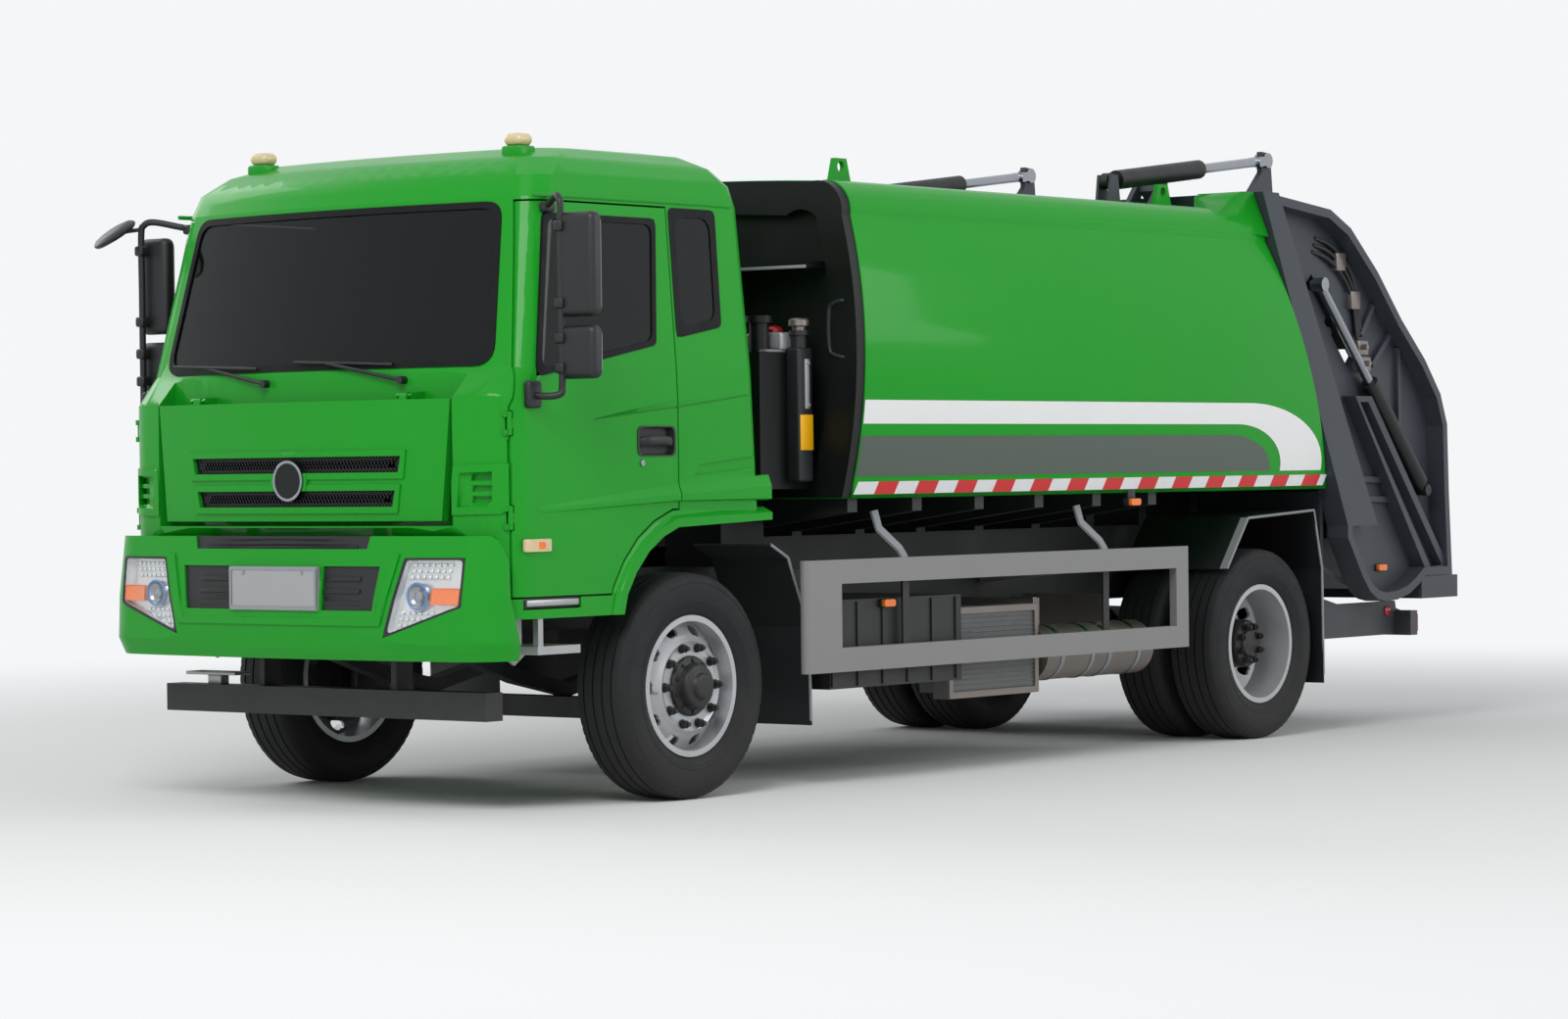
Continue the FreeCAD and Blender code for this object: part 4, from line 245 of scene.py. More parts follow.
def bare_steel():
    """Hard chromed piston rod: nearly a mirror, with a film of oil."""
    return finish("bare_steel", shade("#9A9EA3"), rough=0.20, patch=0.1, swing=0.08, grain=0.001, bump=0.01,
                  metallic=1.0)


def step_aluminium():
    """Ribbed aluminium step plate: scuffed, dull in the hollows."""
    return finish("step_aluminium", shade("#A9ABAC"), rough=0.40, patch=0.06, swing=0.12, grain=0.002,
                  bump=0.08, dust=0.2, dust_top=1.0, metallic=0.8)


def tank_alloy():
    """Drawn aluminium air tank: soft brushed gleam, stained by spray."""
    return finish("tank_alloy", shade("#847D78"), rough=0.34, patch=0.12, swing=0.18, grain=0.002,
                  bump=0.05, dust=0.3, dust_top=0.9, metallic=0.7)


def windscreen_glass_with_painted_shade():
    """Laminated glass drawn near black and mostly opaque: painted shade of the cab's dim inside, with seats
    and wheel just to be made out.
    """
    return finish("windscreen_glass_with_painted_shade", shade("#0A0C0E"), rough=0.04, patch=0.5, swing=0.04, grain=0.002,
                  bump=0.0, alpha=0.80, ior=1.36)


def side_glass_with_painted_shade():
    """Tempered glass with a printed rim, drawn black and nearly opaque: painted shade of the cab's inside,
    under a clear reflection.
    """
    return finish("side_glass_with_painted_shade", shade("#0E1012"), rough=0.05, patch=0.4, swing=0.05, grain=0.002, bump=0.0,
                  alpha=0.88, ior=1.36)


def lamp_lens():
    """Clear polycarbonate lamp cover, thin enough that only its gloss shows."""
    return finish("lamp_lens", shade("#F1F4F5"), rough=0.04, patch=0.5, swing=0.01, grain=0.002, bump=0.0,
                  alpha=0.06, ior=1.40)


def lamp_blue():
    """Blue tinted acrylic light guide: a cool ring in the bright bowl."""
    return finish("lamp_blue", shade("#4F86C8"), rough=0.20, patch=0.05, swing=0.06, grain=0.002, bump=0.0,
                  coat_weight=0.4)


def mirror_glass():
    """Silvered float glass: a clear and slightly grey reflection."""
    return finish("mirror_glass", shade("#D9DEE0"), rough=0.04, patch=0.3, swing=0.02, grain=0.002,
                  bump=0.0, metallic=1.0)


def edge_grey():
    """Light grey rubber edging of the mudguards, dulled by spray."""
    return finish("edge_grey", shade("#8B8E92"), rough=0.55, patch=0.08, swing=0.12, grain=0.002, bump=0.08)


def lamp_bright():
    """Vacuum coated lamp reflector: bright, its gleam broken up by small cells."""
    return finish("lamp_bright", shade("#DFE2E4"), rough=0.22, patch=0.03, swing=0.10, grain=0.004,
                  bump=0.25, metallic=0.6)


def orange_lens():
    """Orange acrylic of indicators and side markers: saturated, with a soft gleam."""
    return finish("orange_lens", shade("#FF7A00"), rough=0.22, patch=0.03, swing=0.08, grain=0.003,
                  bump=0.05, coat_weight=0.4)


def red_lens():
    """Red acrylic of tail lamps: deep and glossy."""
    return finish("red_lens", shade("#B5121B"), rough=0.22, patch=0.03, swing=0.08, grain=0.003, bump=0.05,
                  coat_weight=0.4)


def cream_lens():
    """Yellowed clear plastic of the roof marker lamps: cream, with a dull gleam."""
    return finish("cream_lens", shade("#DCC79A"), rough=0.30, patch=0.05, swing=0.06, grain=0.004,
                  bump=0.06, coat_weight=0.3)


def stripe_film():
    """White vinyl film laid on the paint: smooth, slightly glossy, dusty at the foot."""
    return finish("stripe_film", colour("stripe"), rough=0.36, patch=0.4, swing=0.03, grain=0.002,
                  bump=0.01, dust=0.12, dust_top=1.7)


def band_film():
    """Dark grey green vinyl film: duller than the stripe, and dusty at the foot."""
    return finish("band_film", colour("band"), rough=0.40, patch=0.4, swing=0.04, grain=0.002, bump=0.01,
                  dust=0.15, dust_top=1.6)


def tape_white():
    """White reflective tape: prisms under the face give it a fine cell pattern."""
    return finish("tape_white", shade("#E8E8EA"), rough=0.35, patch=0.05, swing=0.06, grain=0.004,
                  bump=0.15)


def tape_red():
    """Red reflective tape: the same cell pattern under a red face."""
    return finish("tape_red", shade("#D31A1F"), rough=0.35, patch=0.05, swing=0.08, grain=0.004, bump=0.15)


def plate_steel():
    """Pressed and lacquered plate blank: light grey, left without any mark."""
    return finish("plate_steel", shade("#A8A9AB"), rough=0.32, patch=0.2, swing=0.04, grain=0.002,
                  bump=0.02, metallic=0.3)


def label_yellow():
    """Blank yellow vinyl label: flat, even and saturated."""
    return finish("label_yellow", shade("#F7B500"), rough=0.38, patch=0.2, swing=0.04, grain=0.002,
                  bump=0.02)


def seat_cloth():
    """Flat woven seat cloth in anthracite; its thread is drawn a little coarse so that it shows."""
    return finish("seat_cloth", shade("#2B2D33"), rough=0.85, patch=0.06, swing=0.15, grain=0.003, bump=0.4,
                  sheen_weight=0.3)


def radiator_core():
    """Grey aluminium fin block, dusty between its fins."""
    return finish("radiator_core", shade("#6E7072"), rough=0.55, patch=0.05, swing=0.25, grain=0.003,
                  bump=0.3, dust=0.3, dust_top=1.0, metallic=0.3)


def seal_rubber():
    """Black EPDM window seal: matt, so that it reads as one with the glass."""
    return finish("seal_rubber", shade("#0B0C0E"), rough=0.62, patch=0.08, swing=0.1, grain=0.002,
                  bump=0.05, specular_ior_level=0.2)


def black_with_painted_shade():
    """Deep black enamel inside the bulkhead, darker than the chassis lacquer as painted shade, out of the
    light.
    """
    return finish("black_with_painted_shade", shade("#0C0E0F"), rough=0.45, patch=0.3, swing=0.15, grain=0.003,
                  bump=0.05, specular_ior_level=0.3)


MAKERS = (livery_paint, body_paint, gate_paint, chassis_paint, guard_paint, moulded_black, tyre_rubber,
          wheel_silver, cast_black, bare_steel, step_aluminium, tank_alloy, windscreen_glass_with_painted_shade, side_glass_with_painted_shade,
          lamp_lens, lamp_blue, mirror_glass, edge_grey, lamp_bright, orange_lens, red_lens, cream_lens,
          stripe_film, band_film, tape_white, tape_red, plate_steel, label_yellow, seat_cloth,
          radiator_core, black_with_painted_shade, seal_rubber)


# The finished materials by name, filled by the finishes step.
FINISHES = {}


def material(name):
    """The finish made under a name: the frame's own materials have some of the same names."""
    return FINISHES[name]


# Mesh helpers: a shape is a pair of vertex and face arrays. Points nearer than MERGE become one.
MERGE = 1e-5


def quads(points, wrap_u=False, wrap_v=False):
    """A grid of points joined by four sided faces; either direction may close on itself."""
    rows, columns = points.shape[:2]
    index = np.arange(rows * columns).reshape(rows, columns)
    if wrap_u:
        index = np.vstack([index, index[:1]])
    if wrap_v:
        index = np.hstack([index, index[:, :1]])
    faces = np.stack([index[:-1, :-1], index[1:, :-1], index[1:, 1:], index[:-1, 1:]], -1)
    return points.reshape(-1, 3), faces.reshape(-1, 4)


def turned(profile, centre, steps=72, axis=1):
    """A profile of (along, radius) turned about a line through the centre along an axis."""
    profile = np.asarray(profile, float)
    angle = np.linspace(0, 2 * np.pi, steps, endpoint=False)[:, None]
    along = np.broadcast_to(profile[None, :, 0], (steps, len(profile)))
    first = np.cos(angle) * profile[None, :, 1]
    second = np.sin(angle) * profile[None, :, 1]
    order = {0: (along, first, second), 1: (second, along, first), 2: (first, second, along)}[axis]
    return quads(np.stack(order, -1) + np.asarray(centre, float), wrap_u=True)


def rounded_box(low, high, radius=0.004, steps=3):
    """A box whose edges are arcs: a small sphere's surface pulled apart by the box's inner half sizes."""
    low, high = np.minimum(low, high), np.maximum(low, high)
    half = (high - low) / 2
    radius = min(radius, half.min() * 0.999)
    quarter = np.linspace(0, np.pi / 2, steps)
    turn = np.concatenate([quarter + start * np.pi / 2 for start in range(4)])
    tilt = np.concatenate([quarter - np.pi / 2, quarter])
    side_x = np.repeat([1, -1, -1, 1], steps)[:, None]
    side_y = np.repeat([1, 1, -1, -1], steps)[:, None]
    side_z = np.repeat([-1, 1], steps)[None, :]
    ball = np.stack([np.cos(turn)[:, None] * np.cos(tilt), np.sin(turn)[:, None] * np.cos(tilt),
                     np.broadcast_to(np.sin(tilt), (len(turn), len(tilt)))], -1)
    corner = np.stack(np.broadcast_arrays(side_x, side_y, side_z), -1) * (half - radius)
    return quads((low + high) / 2 + corner + ball * radius, wrap_u=True)


def smooth_path(points, per=8):
    """A round line through the points: each stretch is the cubic that leaves along its neighbours' chord."""
    points = np.asarray(points, float)
    padded = np.vstack([2 * points[0] - points[1], points, 2 * points[-1] - points[-2]])
    share = np.linspace(0, 1, per, endpoint=False)[:, None]
    before, start, end, after = padded[:-3, None], padded[1:-2, None], padded[2:-1, None], padded[3:, None]
    line = 0.5 * (2 * start + (end - before) * share + (2 * before - 5 * start + 4 * end - after) * share ** 2
                  + (3 * start - before - 3 * end + after) * share ** 3)
    return np.vstack([line.reshape(-1, points.shape[1]), points[-1:]])


def carried(profile, path, up=(0, 0, 1)):
    """A closed profile of (sideways, up) carried along a path, its ends drawn to their middle."""
    path = np.asarray(path, float)
    profile = np.asarray(profile, float)
    ahead_of = np.gradient(path, axis=0)
    ahead_of /= np.linalg.norm(ahead_of, axis=1)[:, None]
    side = np.cross(ahead_of, np.asarray(up, float))
    side /= np.linalg.norm(side, axis=1)[:, None]
    top = np.cross(side, ahead_of)
    rings = path[:, None] + profile[None, :, :1] * side[:, None] + profile[None, :, 1:] * top[:, None]
    ends = [np.repeat(ring.mean(0)[None], len(profile), 0)[None] for ring in (rings[0], rings[-1])]
    return quads(np.concatenate([ends[0], rings, ends[1]]), wrap_v=True)


def circle(radius, sides=10):
    """The points of a round profile."""
    angle = np.linspace(0, 2 * np.pi, sides, endpoint=False)
    return np.stack([np.cos(angle), np.sin(angle)], -1) * radius


def rectangle(left, low, right, high):
    """The four corners of an upright rectangle, in turn."""
    return (left, low), (right, low), (right, high), (left, high)


def hoop(along, radius, thick, wide, sides):
    """Profile of a round ring: an ellipse with the half sizes thick and wide about (along, radius)."""
    angles = np.linspace(0, 2 * math.pi, sides)
    return [(along + thick * math.sin(angle), radius + wide * math.cos(angle)) for angle in angles]


def tube(path, radius, sides=10, up=(0.13, 0.21, 0.97)):
    """A round bar along a path."""
    return carried(circle(radius, sides), path, up)


def slab(outline, start, end, axis=1):
    """A flat outline of two coordinates drawn out between two places on an axis, with closed ends."""
    outline = np.asarray(outline, float)
    middle = np.repeat(outline.mean(0)[None], len(outline), 0)
    rows = []
    for ring, place in ((middle, start), (outline, start), (outline, end), (middle, end)):
        rows.append(np.insert(ring, axis, place, axis=1))
    return quads(np.stack(rows), wrap_v=True)


def mirrored(shape):
    """The same shape on the truck's other side, its faces turned round to stay outward."""
    return shape[0] * np.array([1, -1, 1]), shape[1][:, ::-1]


def side_of(shape, side):
    """A shape made for the left side, on the side asked for."""
    return shape if side > 0 else mirrored(shape)


def both(*shapes):
    """Every shape, each followed by its mirror image."""
    return [one for shape in shapes for one in (shape, mirrored(shape))]


def dress(mesh, name, finish_name, body, crease, replaces=()):
    """The piece of a mesh, smooth below the crease angle, with its finish, body, slot and replaced nodes."""
    mesh.shade_smooth()
    mesh.set_sharp_from_angle(angle=math.radians(crease))
    mesh.materials.clear()
    mesh.materials.append(material(finish_name))
    piece = bpy.data.objects.new(name, mesh)
    bpy.context.scene.collection.objects.link(piece)
    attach(piece, body)
    if replaces:
        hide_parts(*replaces)
    return piece


def make(name, shapes, finish_name, body, crease=35, closed=True, replaces=()):
    """One piece from shapes: doubles merged and, on closed forms, faces turned outward."""
    verts, faces, count = [], [], 0
    for points, corners in shapes:
        verts.append(points)
        faces.append(corners + count)
        count += len(points)
    mesh = bpy.data.meshes.new(name)
    mesh.from_pydata(np.concatenate(verts).tolist(), [], np.concatenate(faces).tolist())
    work = bmesh.new()
    work.from_mesh(mesh)
    bmesh.ops.remove_doubles(work, verts=work.verts, dist=MERGE)
    bmesh.ops.dissolve_degenerate(work, edges=work.edges, dist=MERGE / 10)
    if closed:
        bmesh.ops.recalc_face_normals(work, faces=work.faces)
    work.to_mesh(mesh)
    work.free()
    return dress(mesh, name, finish_name, body, crease, replaces)


def reskin(node, finish_name, body, crease):
    """A merged, smoothly shaded copy of a CAD node that is shown in its place."""
    mesh = NODES[node].data.copy()
    mesh.name = node + "_skin"
    work = bmesh.new()
    work.from_mesh(mesh)
    bmesh.ops.remove_doubles(work, verts=work.verts, dist=MERGE)
    work.to_mesh(mesh)
    work.free()
    piece = dress(mesh, node + "_skin", finish_name, body, crease, (node,))
    weights = piece.modifiers.new("weights", "WEIGHTED_NORMAL")
    weights.mode = "FACE_AREA_WITH_ANGLE"
    weights.keep_sharp = True
    return piece


def grown(corners, distance):
    """A polygon moved outward: each side shifts along its normal and neighbours meet again."""
    points = np.asarray(corners, float)
    following = np.roll(points, -1, 0)
    side = following - points
    turn = np.sign((points[:, 0] * following[:, 1] - points[:, 1] * following[:, 0]).sum())
    normal = turn * np.stack([side[:, 1], -side[:, 0]], -1) / np.linalg.norm(side, axis=1)[:, None]
    before = np.roll(normal, 1, 0)
    return points + (normal + before) * (distance / (1 + (normal * before).sum(1)))[:, None]


def rounded(corners, radius, grow=0.0, arc=7, run=10):
    """A closed outline with round corners: parabolas between tangent points, straight runs between them."""
    points = grown(corners, grow)
    back = np.roll(points, 1, 0) - points
    on = np.roll(points, -1, 0) - points
    back /= np.linalg.norm(back, axis=1)[:, None]
    on /= np.linalg.norm(on, axis=1)[:, None]
    angle = (back * on).sum(1)
    reach = (radius * np.sqrt((1 + angle) / (1 - angle)))[:, None]
    start, end = points + back * reach, points + on * reach
    share = np.linspace(0, 1, arc)[None, :, None]
    bend = ((1 - share) ** 2 * start[:, None] + 2 * share * (1 - share) * points[:, None]
            + share ** 2 * end[:, None])
    share = np.linspace(0, 1, run + 2)[None, 1:-1, None]
    straight = end[:, None] * (1 - share) + np.roll(start, -1, 0)[:, None] * share
    return np.concatenate([bend, straight], 1).reshape(-1, 2)


def relief(outline, place, profile):
    """A form over an outline: each row is the outline drawn towards its middle by a share, at a height."""
    middle = outline.mean(0)
    rows = [place(middle + (outline - middle) * share, lift) for share, lift in profile]
    return quads(np.stack(rows), wrap_v=True)


def pad(outline, place, height, sink=0.004):
    """A plate with a soft edge that stands on a surface."""
    rows = [(0, -sink), (1, -sink), (1, height * 0.6), (0.985, height * 0.9), (0.96, height), (0, height)]
    return relief(outline, place, rows)


def band(outer, inner, place, proud, sink=0.006):
    """A closed ring between two outlines of the same count, proud of a surface."""
    rows = [place(outer, -sink), place(outer, proud), place(inner, proud), place(inner, -sink)]
    return quads(np.stack(rows), wrap_u=True, wrap_v=True)


def aimed(shape, direction, at):
    """A shape made round Z, turned so that Z points along a direction, and put at a place."""
    turn = np.array(Vector(direction).to_track_quat("Z", "Y").to_matrix())
    return shape[0] @ turn.T + np.asarray(at, float), shape[1]


# Search trees made so far, by node.
TREES = {}


def tree_of(node):
    """A search tree over a CAD node's mesh, made once."""
    if node not in TREES:
        work = bmesh.new()
        work.from_mesh(NODES[node].data)
        TREES[node] = BVHTree.FromBMesh(work)
        work.free()
    return TREES[node]


def seat(node, origin, direction):
    """The first place where a line meets a CAD node."""
    spot = tree_of(node).ray_cast(Vector(origin), Vector(direction))[0]
    if spot is None:
        raise RuntimeError("nothing to stand on at " + str(tuple(origin)))
    return np.array(spot)


def flank(node, distance, height, side=1):
    """The place on a node's side that a level line from outside meets."""
    return seat(node, (ahead(distance), side * OUTSIDE, height), (0, -side, 0))


def front_of(node, y, z):
    """X of the place on a node's front that a level line from ahead meets."""
    return seat(node, (IN_FRONT, y, z), (-1, 0, 0))[0]


def on_flat(axis, place, sign=1):
    """Puts outline points on a flat face square to an axis, lifted outward along it."""
    return lambda outline, lift: np.insert(outline, axis, place + sign * lift, axis=1)


# Surfaces of the truck that pieces are laid on.
BODY_LOW, BODY_HIGH = span("refuse_body")
BODY_FOOT = np.array([1.150, BODY_LOW[2]])
BODY_WAIST = np.array([BODY_HIGH[1], 1.960])
BODY_SHOULDER = np.array([1.165, 2.500])


def arc_centre(first, second, third):
    """Centre and radius of the circle through three points."""
    matrix = 2 * np.array([second - first, third - first])
    right = np.array([second @ second - first @ first, third @ third - first @ first])
    centre = np.linalg.solve(matrix, right)
    return centre, np.linalg.norm(first - centre)


SIDE_CENTRE, SIDE_RADIUS = arc_centre(BODY_FOOT, BODY_WAIST, BODY_SHOULDER)


def body_side(height):
    """Half width of the refuse body at a height, on the circle of its barrel side."""
    return SIDE_CENTRE[0] + np.sqrt(SIDE_RADIUS ** 2 - (height - SIDE_CENTRE[1]) ** 2)


# How far the body's rear end leans forward for each metre of height.
REAR_SLOPE = (5.080 - 4.400) / (2.690 - 1.254)


def body_rear(height):
    """X of the body's sloping rear end at a height."""
    return ahead(-5.080) + REAR_SLOPE * (height - BODY_LOW[2])


def film_on_side(top, bottom, columns, offset, side=1):
    """A film on the barrel side between two height curves over the given X columns."""
    share = np.linspace(0, 1, 9)[None, :]
    height = top[:, None] * (1 - share) + bottom[:, None] * share
    across = np.broadcast_to(columns[:, None], height.shape)
    points = np.stack([across, body_side(height) + offset, height], -1)
    return side_of(quads(points), side)


# The cab's surfaces.
CAB_HEIGHTS = (0.796, 1.689, 1.815, 2.512)


def bowed(nose, half, bow, corner, y):
    """X of a front whose plan is a flat arc that runs into round corners."""
    angle = np.arcsin((half - corner) / (bow - corner))
    flat = nose - bow + np.sqrt(bow ** 2 - y ** 2)
    turn = nose - bow + (bow - corner) * np.cos(angle)
    turn = turn + np.sqrt(np.clip(corner ** 2 - (np.abs(y) - half + corner) ** 2, 0, None))
    return ahead(np.where(np.abs(y) < bow * np.sin(angle), flat, turn))


def cab_side(z):
    """Half width of the cab at a height."""
    return np.interp(z, CAB_HEIGHTS, (1.111, 1.111, 1.105, 1.030))


def on_front(outline, lift):
    """Places of (y, z) points on the cab's front, lifted off it."""
    y, z = outline[:, 0], outline[:, 1]
    nose = np.interp(z, CAB_HEIGHTS, (1.250, 1.250, 1.141, 0.971))
    bow = np.interp(z, CAB_HEIGHTS, (5.5, 5.5, 4.5, 4.5))
    corner = np.interp(z, CAB_HEIGHTS, (0.2, 0.2, 0.13, 0.13))
    return np.stack([bowed(nose, cab_side(z), bow, corner, y) + lift, y, z], -1)


def on_bumper(outline, lift):
    """Places of (y, z) points on the bumper's face, lifted off it."""
    y, z = outline[:, 0], outline[:, 1]
    nose = np.interp(z, (0.630, 0.700, 0.880, 1.135), (1.330, 1.360, 1.352, 1.320))
    return np.stack([bowed(nose, 1.111, 8.0, 0.2, y) + lift, y, z], -1)


def on_side(outline, lift):
    """Places of (distance ahead, z) points on the cab's left side, lifted off it."""
    return np.stack([ahead(outline[:, 0]), cab_side(outline[:, 1]) + lift, outline[:, 1]], -1)


# Outlines on the cab: across and up on its front, ahead and up on its side.
SCREEN = ((-0.963, 1.814), (0.963, 1.814), (0.885, 2.500), (-0.885, 2.500))
DOOR_WINDOW = ((0.190, 1.915), (0.950, 1.775), (0.815, 2.440), (0.120, 2.440))
REAR_WINDOW = ((0.055, 1.935), (0.034, 2.500), (-0.289, 2.500), (-0.262, 1.990))
LAMP = ((0.598, 0.724), (0.985, 0.850), (0.990, 1.048), (0.695, 1.047))


def add_glass():
    """Seals round the windscreen, the door windows and the rear side windows."""
    ring = band(rounded(SCREEN, 0.085, -0.006), rounded(SCREEN, 0.075, -0.034), on_front, 0.005)
    make("windscreen_seal", [ring], "seal_rubber", "cab")
    for place, side in SIDES:
        ring = band(rounded(DOOR_WINDOW, 0.035, 0.004), rounded(DOOR_WINDOW, 0.045, -0.022), on_side, 0.003,
                    0.02)
        make("door_window_seal_" + place, [side_of(ring, side)], "seal_rubber", "door_" + place)
        ring = band(rounded(REAR_WINDOW, 0.035, -0.006), rounded(REAR_WINDOW, 0.06, -0.045), on_side, 0.002,
                    0.02)
        make("rear_window_rim_" + place, [side_of(ring, side)], "seal_rubber", "cab")


# Heights of the facets' lower edges, width and height of a facet, and the step along a row.
FACET_ROWS = (0.765, 0.790, 0.815, 0.960, 0.985, 1.010)
FACET_WIDTH, FACET_HEIGHT, FACET_STEP = 0.024, 0.018, 0.030


def lamp_facets():
    """Raised cells on the headlamp's bowl, in rows that shift along its slanted inner edge."""
    facets = []
    for row, height in enumerate(FACET_ROWS):
        first = 0.645 + (height - FACET_ROWS[0]) * 0.28
        for column in range(7 if row > 2 else 4 + row):
            start = first + column * FACET_STEP
            cell = rectangle(start, height, start + FACET_WIDTH, height + FACET_HEIGHT)
            facets.append(relief(rounded(cell, 0.003, arc=2, run=1), on_bumper,
                                 [(0, -0.039), (1, -0.039), (0.9, -0.028), (0, -0.020)]))
    return facets


def lamp_parts():
    """Bowl with facets, reflector, guide ring, indicator, cover and rim of the left headlamp."""
    outline = rounded(LAMP, 0.018, -0.005)
    bowl = relief(outline, on_bumper, [(0, -0.046), (1, -0.046), (1, -0.008), (0.97, -0.008), (0.93, -0.036),
                                       (0.5, -0.038), (0, -0.038)])
    spot = on_bumper(np.array([[0.760, 0.893]]), 0.0)[0]
    cup = turned([(-0.039, 0), (-0.039, 0.052), (-0.014, 0.052), (-0.014, 0.047), (-0.026, 0.040),
                  (-0.034, 0.024), (-0.034, 0)], spot, 48, 0)
    bead = turned([(-0.036, 0), (-0.034, 0.026), (-0.020, 0.022), (-0.014, 0.013), (-0.012, 0)], spot, 32, 0)
    guide = turned(hoop(-0.013, 0.0525, 0.0045, 0.0045, 9), spot, 48, 0)
    blinker = rounded(((0.832, 0.860), (0.968, 0.860), (0.972, 0.926), (0.836, 0.926)), 0.008)
    blinker = pad(blinker, on_bumper, -0.012, 0.040)
    cover = relief(outline, on_bumper, [(0, -0.007), (1, -0.007), (1, -0.002), (0, -0.002)])
    rim = band(rounded(LAMP, 0.018, 0.001), rounded(LAMP, 0.018, -0.008), on_bumper, 0.001, 0.03)
    return [bowl] + lamp_facets(), [cup, bead], [guide], [blinker], [cover], [rim]


def add_headlamps():
    """Both headlamps, with the left and the right one's like parts in one piece."""
    names = (("lamp_bowl", "lamp_bright"), ("lamp_reflector", "bare_steel"), ("lamp_guide", "lamp_blue"),
             ("lamp_blinker", "orange_lens"), ("lamp_cover", "lamp_lens"), ("lamp_rim", "moulded_black"))
    for (name, finish_name), shapes in zip(names, lamp_parts()):
        make(name, both(*shapes), finish_name, "cab", replaces=("headlamps",) if name == "lamp_bowl" else ())


def add_side_lamps():
    """Cream side lamps with an orange middle on the doors."""
    outline = rounded(rectangle(0.885, 1.066, 1.045, 1.118), 0.010)
    middle = rounded(rectangle(0.925, 1.078, 0.965, 1.106), 0.008)
    for place, side in SIDES:
        body = "door_" + place
        make("door_lamp_" + place, [side_of(pad(outline, on_side, 0.010), side)], "cream_lens", body)
        make("door_lamp_middle_" + place, [side_of(pad(middle, on_side, 0.0125), side)], "orange_lens", body)


# Name, distance ahead, height, node and body of each side marker, and how far below its place it hangs.
MARKERS = (("guard", -1.303, 0.788, "battery_cases", "chassis", 0.0),
           ("body", -3.277, 1.285, "refuse_body", "chassis", 0.075),
           ("gate", -5.661, 0.834, "tailgate_shell", "tailgate", 0.0))
MARKER_HALF_WIDTH, MARKER_HALF_HEIGHT = 0.048, 0.019


def add_markers():
    """Orange side markers on black sockets, each on what carries it."""
    wide, tall = MARKER_HALF_WIDTH, MARKER_HALF_HEIGHT
    for name, distance, height, node, body, drop in MARKERS:
        for place, side in SIDES:
            spot = flank(node, distance, height, side)
            x, out, level = spot[0], abs(spot[1]), height - drop
            base = rounded(rectangle(x - wide, level - tall, x + wide, level + tall), 0.014)
            lens = (base - base.mean(0)) * 0.86 + base.mean(0)
            surface = on_flat(1, out)
            sockets = [side_of(pad(base, surface, 0.010, 0.02), side)]
            if drop:
                sockets.append(rounded_box((x - 0.030, side * (out - 0.016), level - 0.02),
                                           (x + 0.030, side * (out - 0.002), height + 0.01), 0.002))
            make("marker_socket_%s_%s" % (name, place), sockets, "moulded_black", body)
            lens_shape = side_of(pad(lens, surface, 0.026, -0.008), side)
            make("marker_%s_%s" % (name, place), [lens_shape], "orange_lens", body)


# Section of a bar of the mesh, across and out of the strip's face.
MESH_BAR = rectangle(-0.0024, -0.003, 0.0024, 0.005)


def lattice(low, high, reach, pitch, lean, face):
    """Slanted thin bars across a strip of the flap: every bar is a flat box between its two edges."""
    shapes = []
    for start in np.arange(-reach + 0.012, reach - 0.012 - abs(lean), pitch):
        foot, head = (start, start + lean) if lean > 0 else (start - lean, start)
        share = np.linspace(0, 1, 3)
        y = foot + (head - foot) * share
        z = low + (high - low) * share
        rows = [on_front(np.stack([y + shift, z], -1), face + lift) for shift, lift in MESH_BAR]
        shapes.append(quads(np.stack(rows, 1), wrap_v=True))
    return shapes


# Outline of the blank plate, and X of the face that it stands on.
PLATE = rectangle(-0.254, 0.831, 0.254, 1.011)
PLATE_FACE = ahead(1.360)


def add_front():
    """Mesh in the flap's strips, the ring of the blank disc, and the plate's rim, face and screws."""
    shapes = []
    for low, high, reach in ((1.396, 1.458, 0.592), (1.256, 1.318, 0.562)):
        spot = np.array([0.30, (low + high) / 2])
        face = front_of("flap_grilles", *spot) - on_front(spot[None], 0.0)[0][0]
        for lean in (0.036, -0.036):
            shapes += lattice(low, high, reach, 0.018, lean, face)
    make("flap_mesh", shapes, "moulded_black", "front_flap")
    ring = turned(hoop(0.014, 0.079, 0.006, 0.007, 11), (ahead(1.250), 0.0, 1.362), 72, 0)
    make("disc_ring", [ring], "bare_steel", "front_flap")
    surface = on_flat(0, PLATE_FACE)
    rim = band(rounded(PLATE, 0.012, -0.002), rounded(PLATE, 0.010, -0.014), surface, 0.004)
    make("plate_rim", [rim], "bare_steel", "cab")
    make("plate_face", [pad(rounded(PLATE, 0.010, -0.016), surface, 0.0015)], "plate_steel", "cab")
    screws = [turned([(0, 0), (0, 0.009), (0.004, 0.008), (0.006, 0)], (PLATE_FACE, y, 0.985), 16, 0)
              for y in (-0.17, 0.17)]
    make("plate_screws", screws, "bare_steel", "cab")


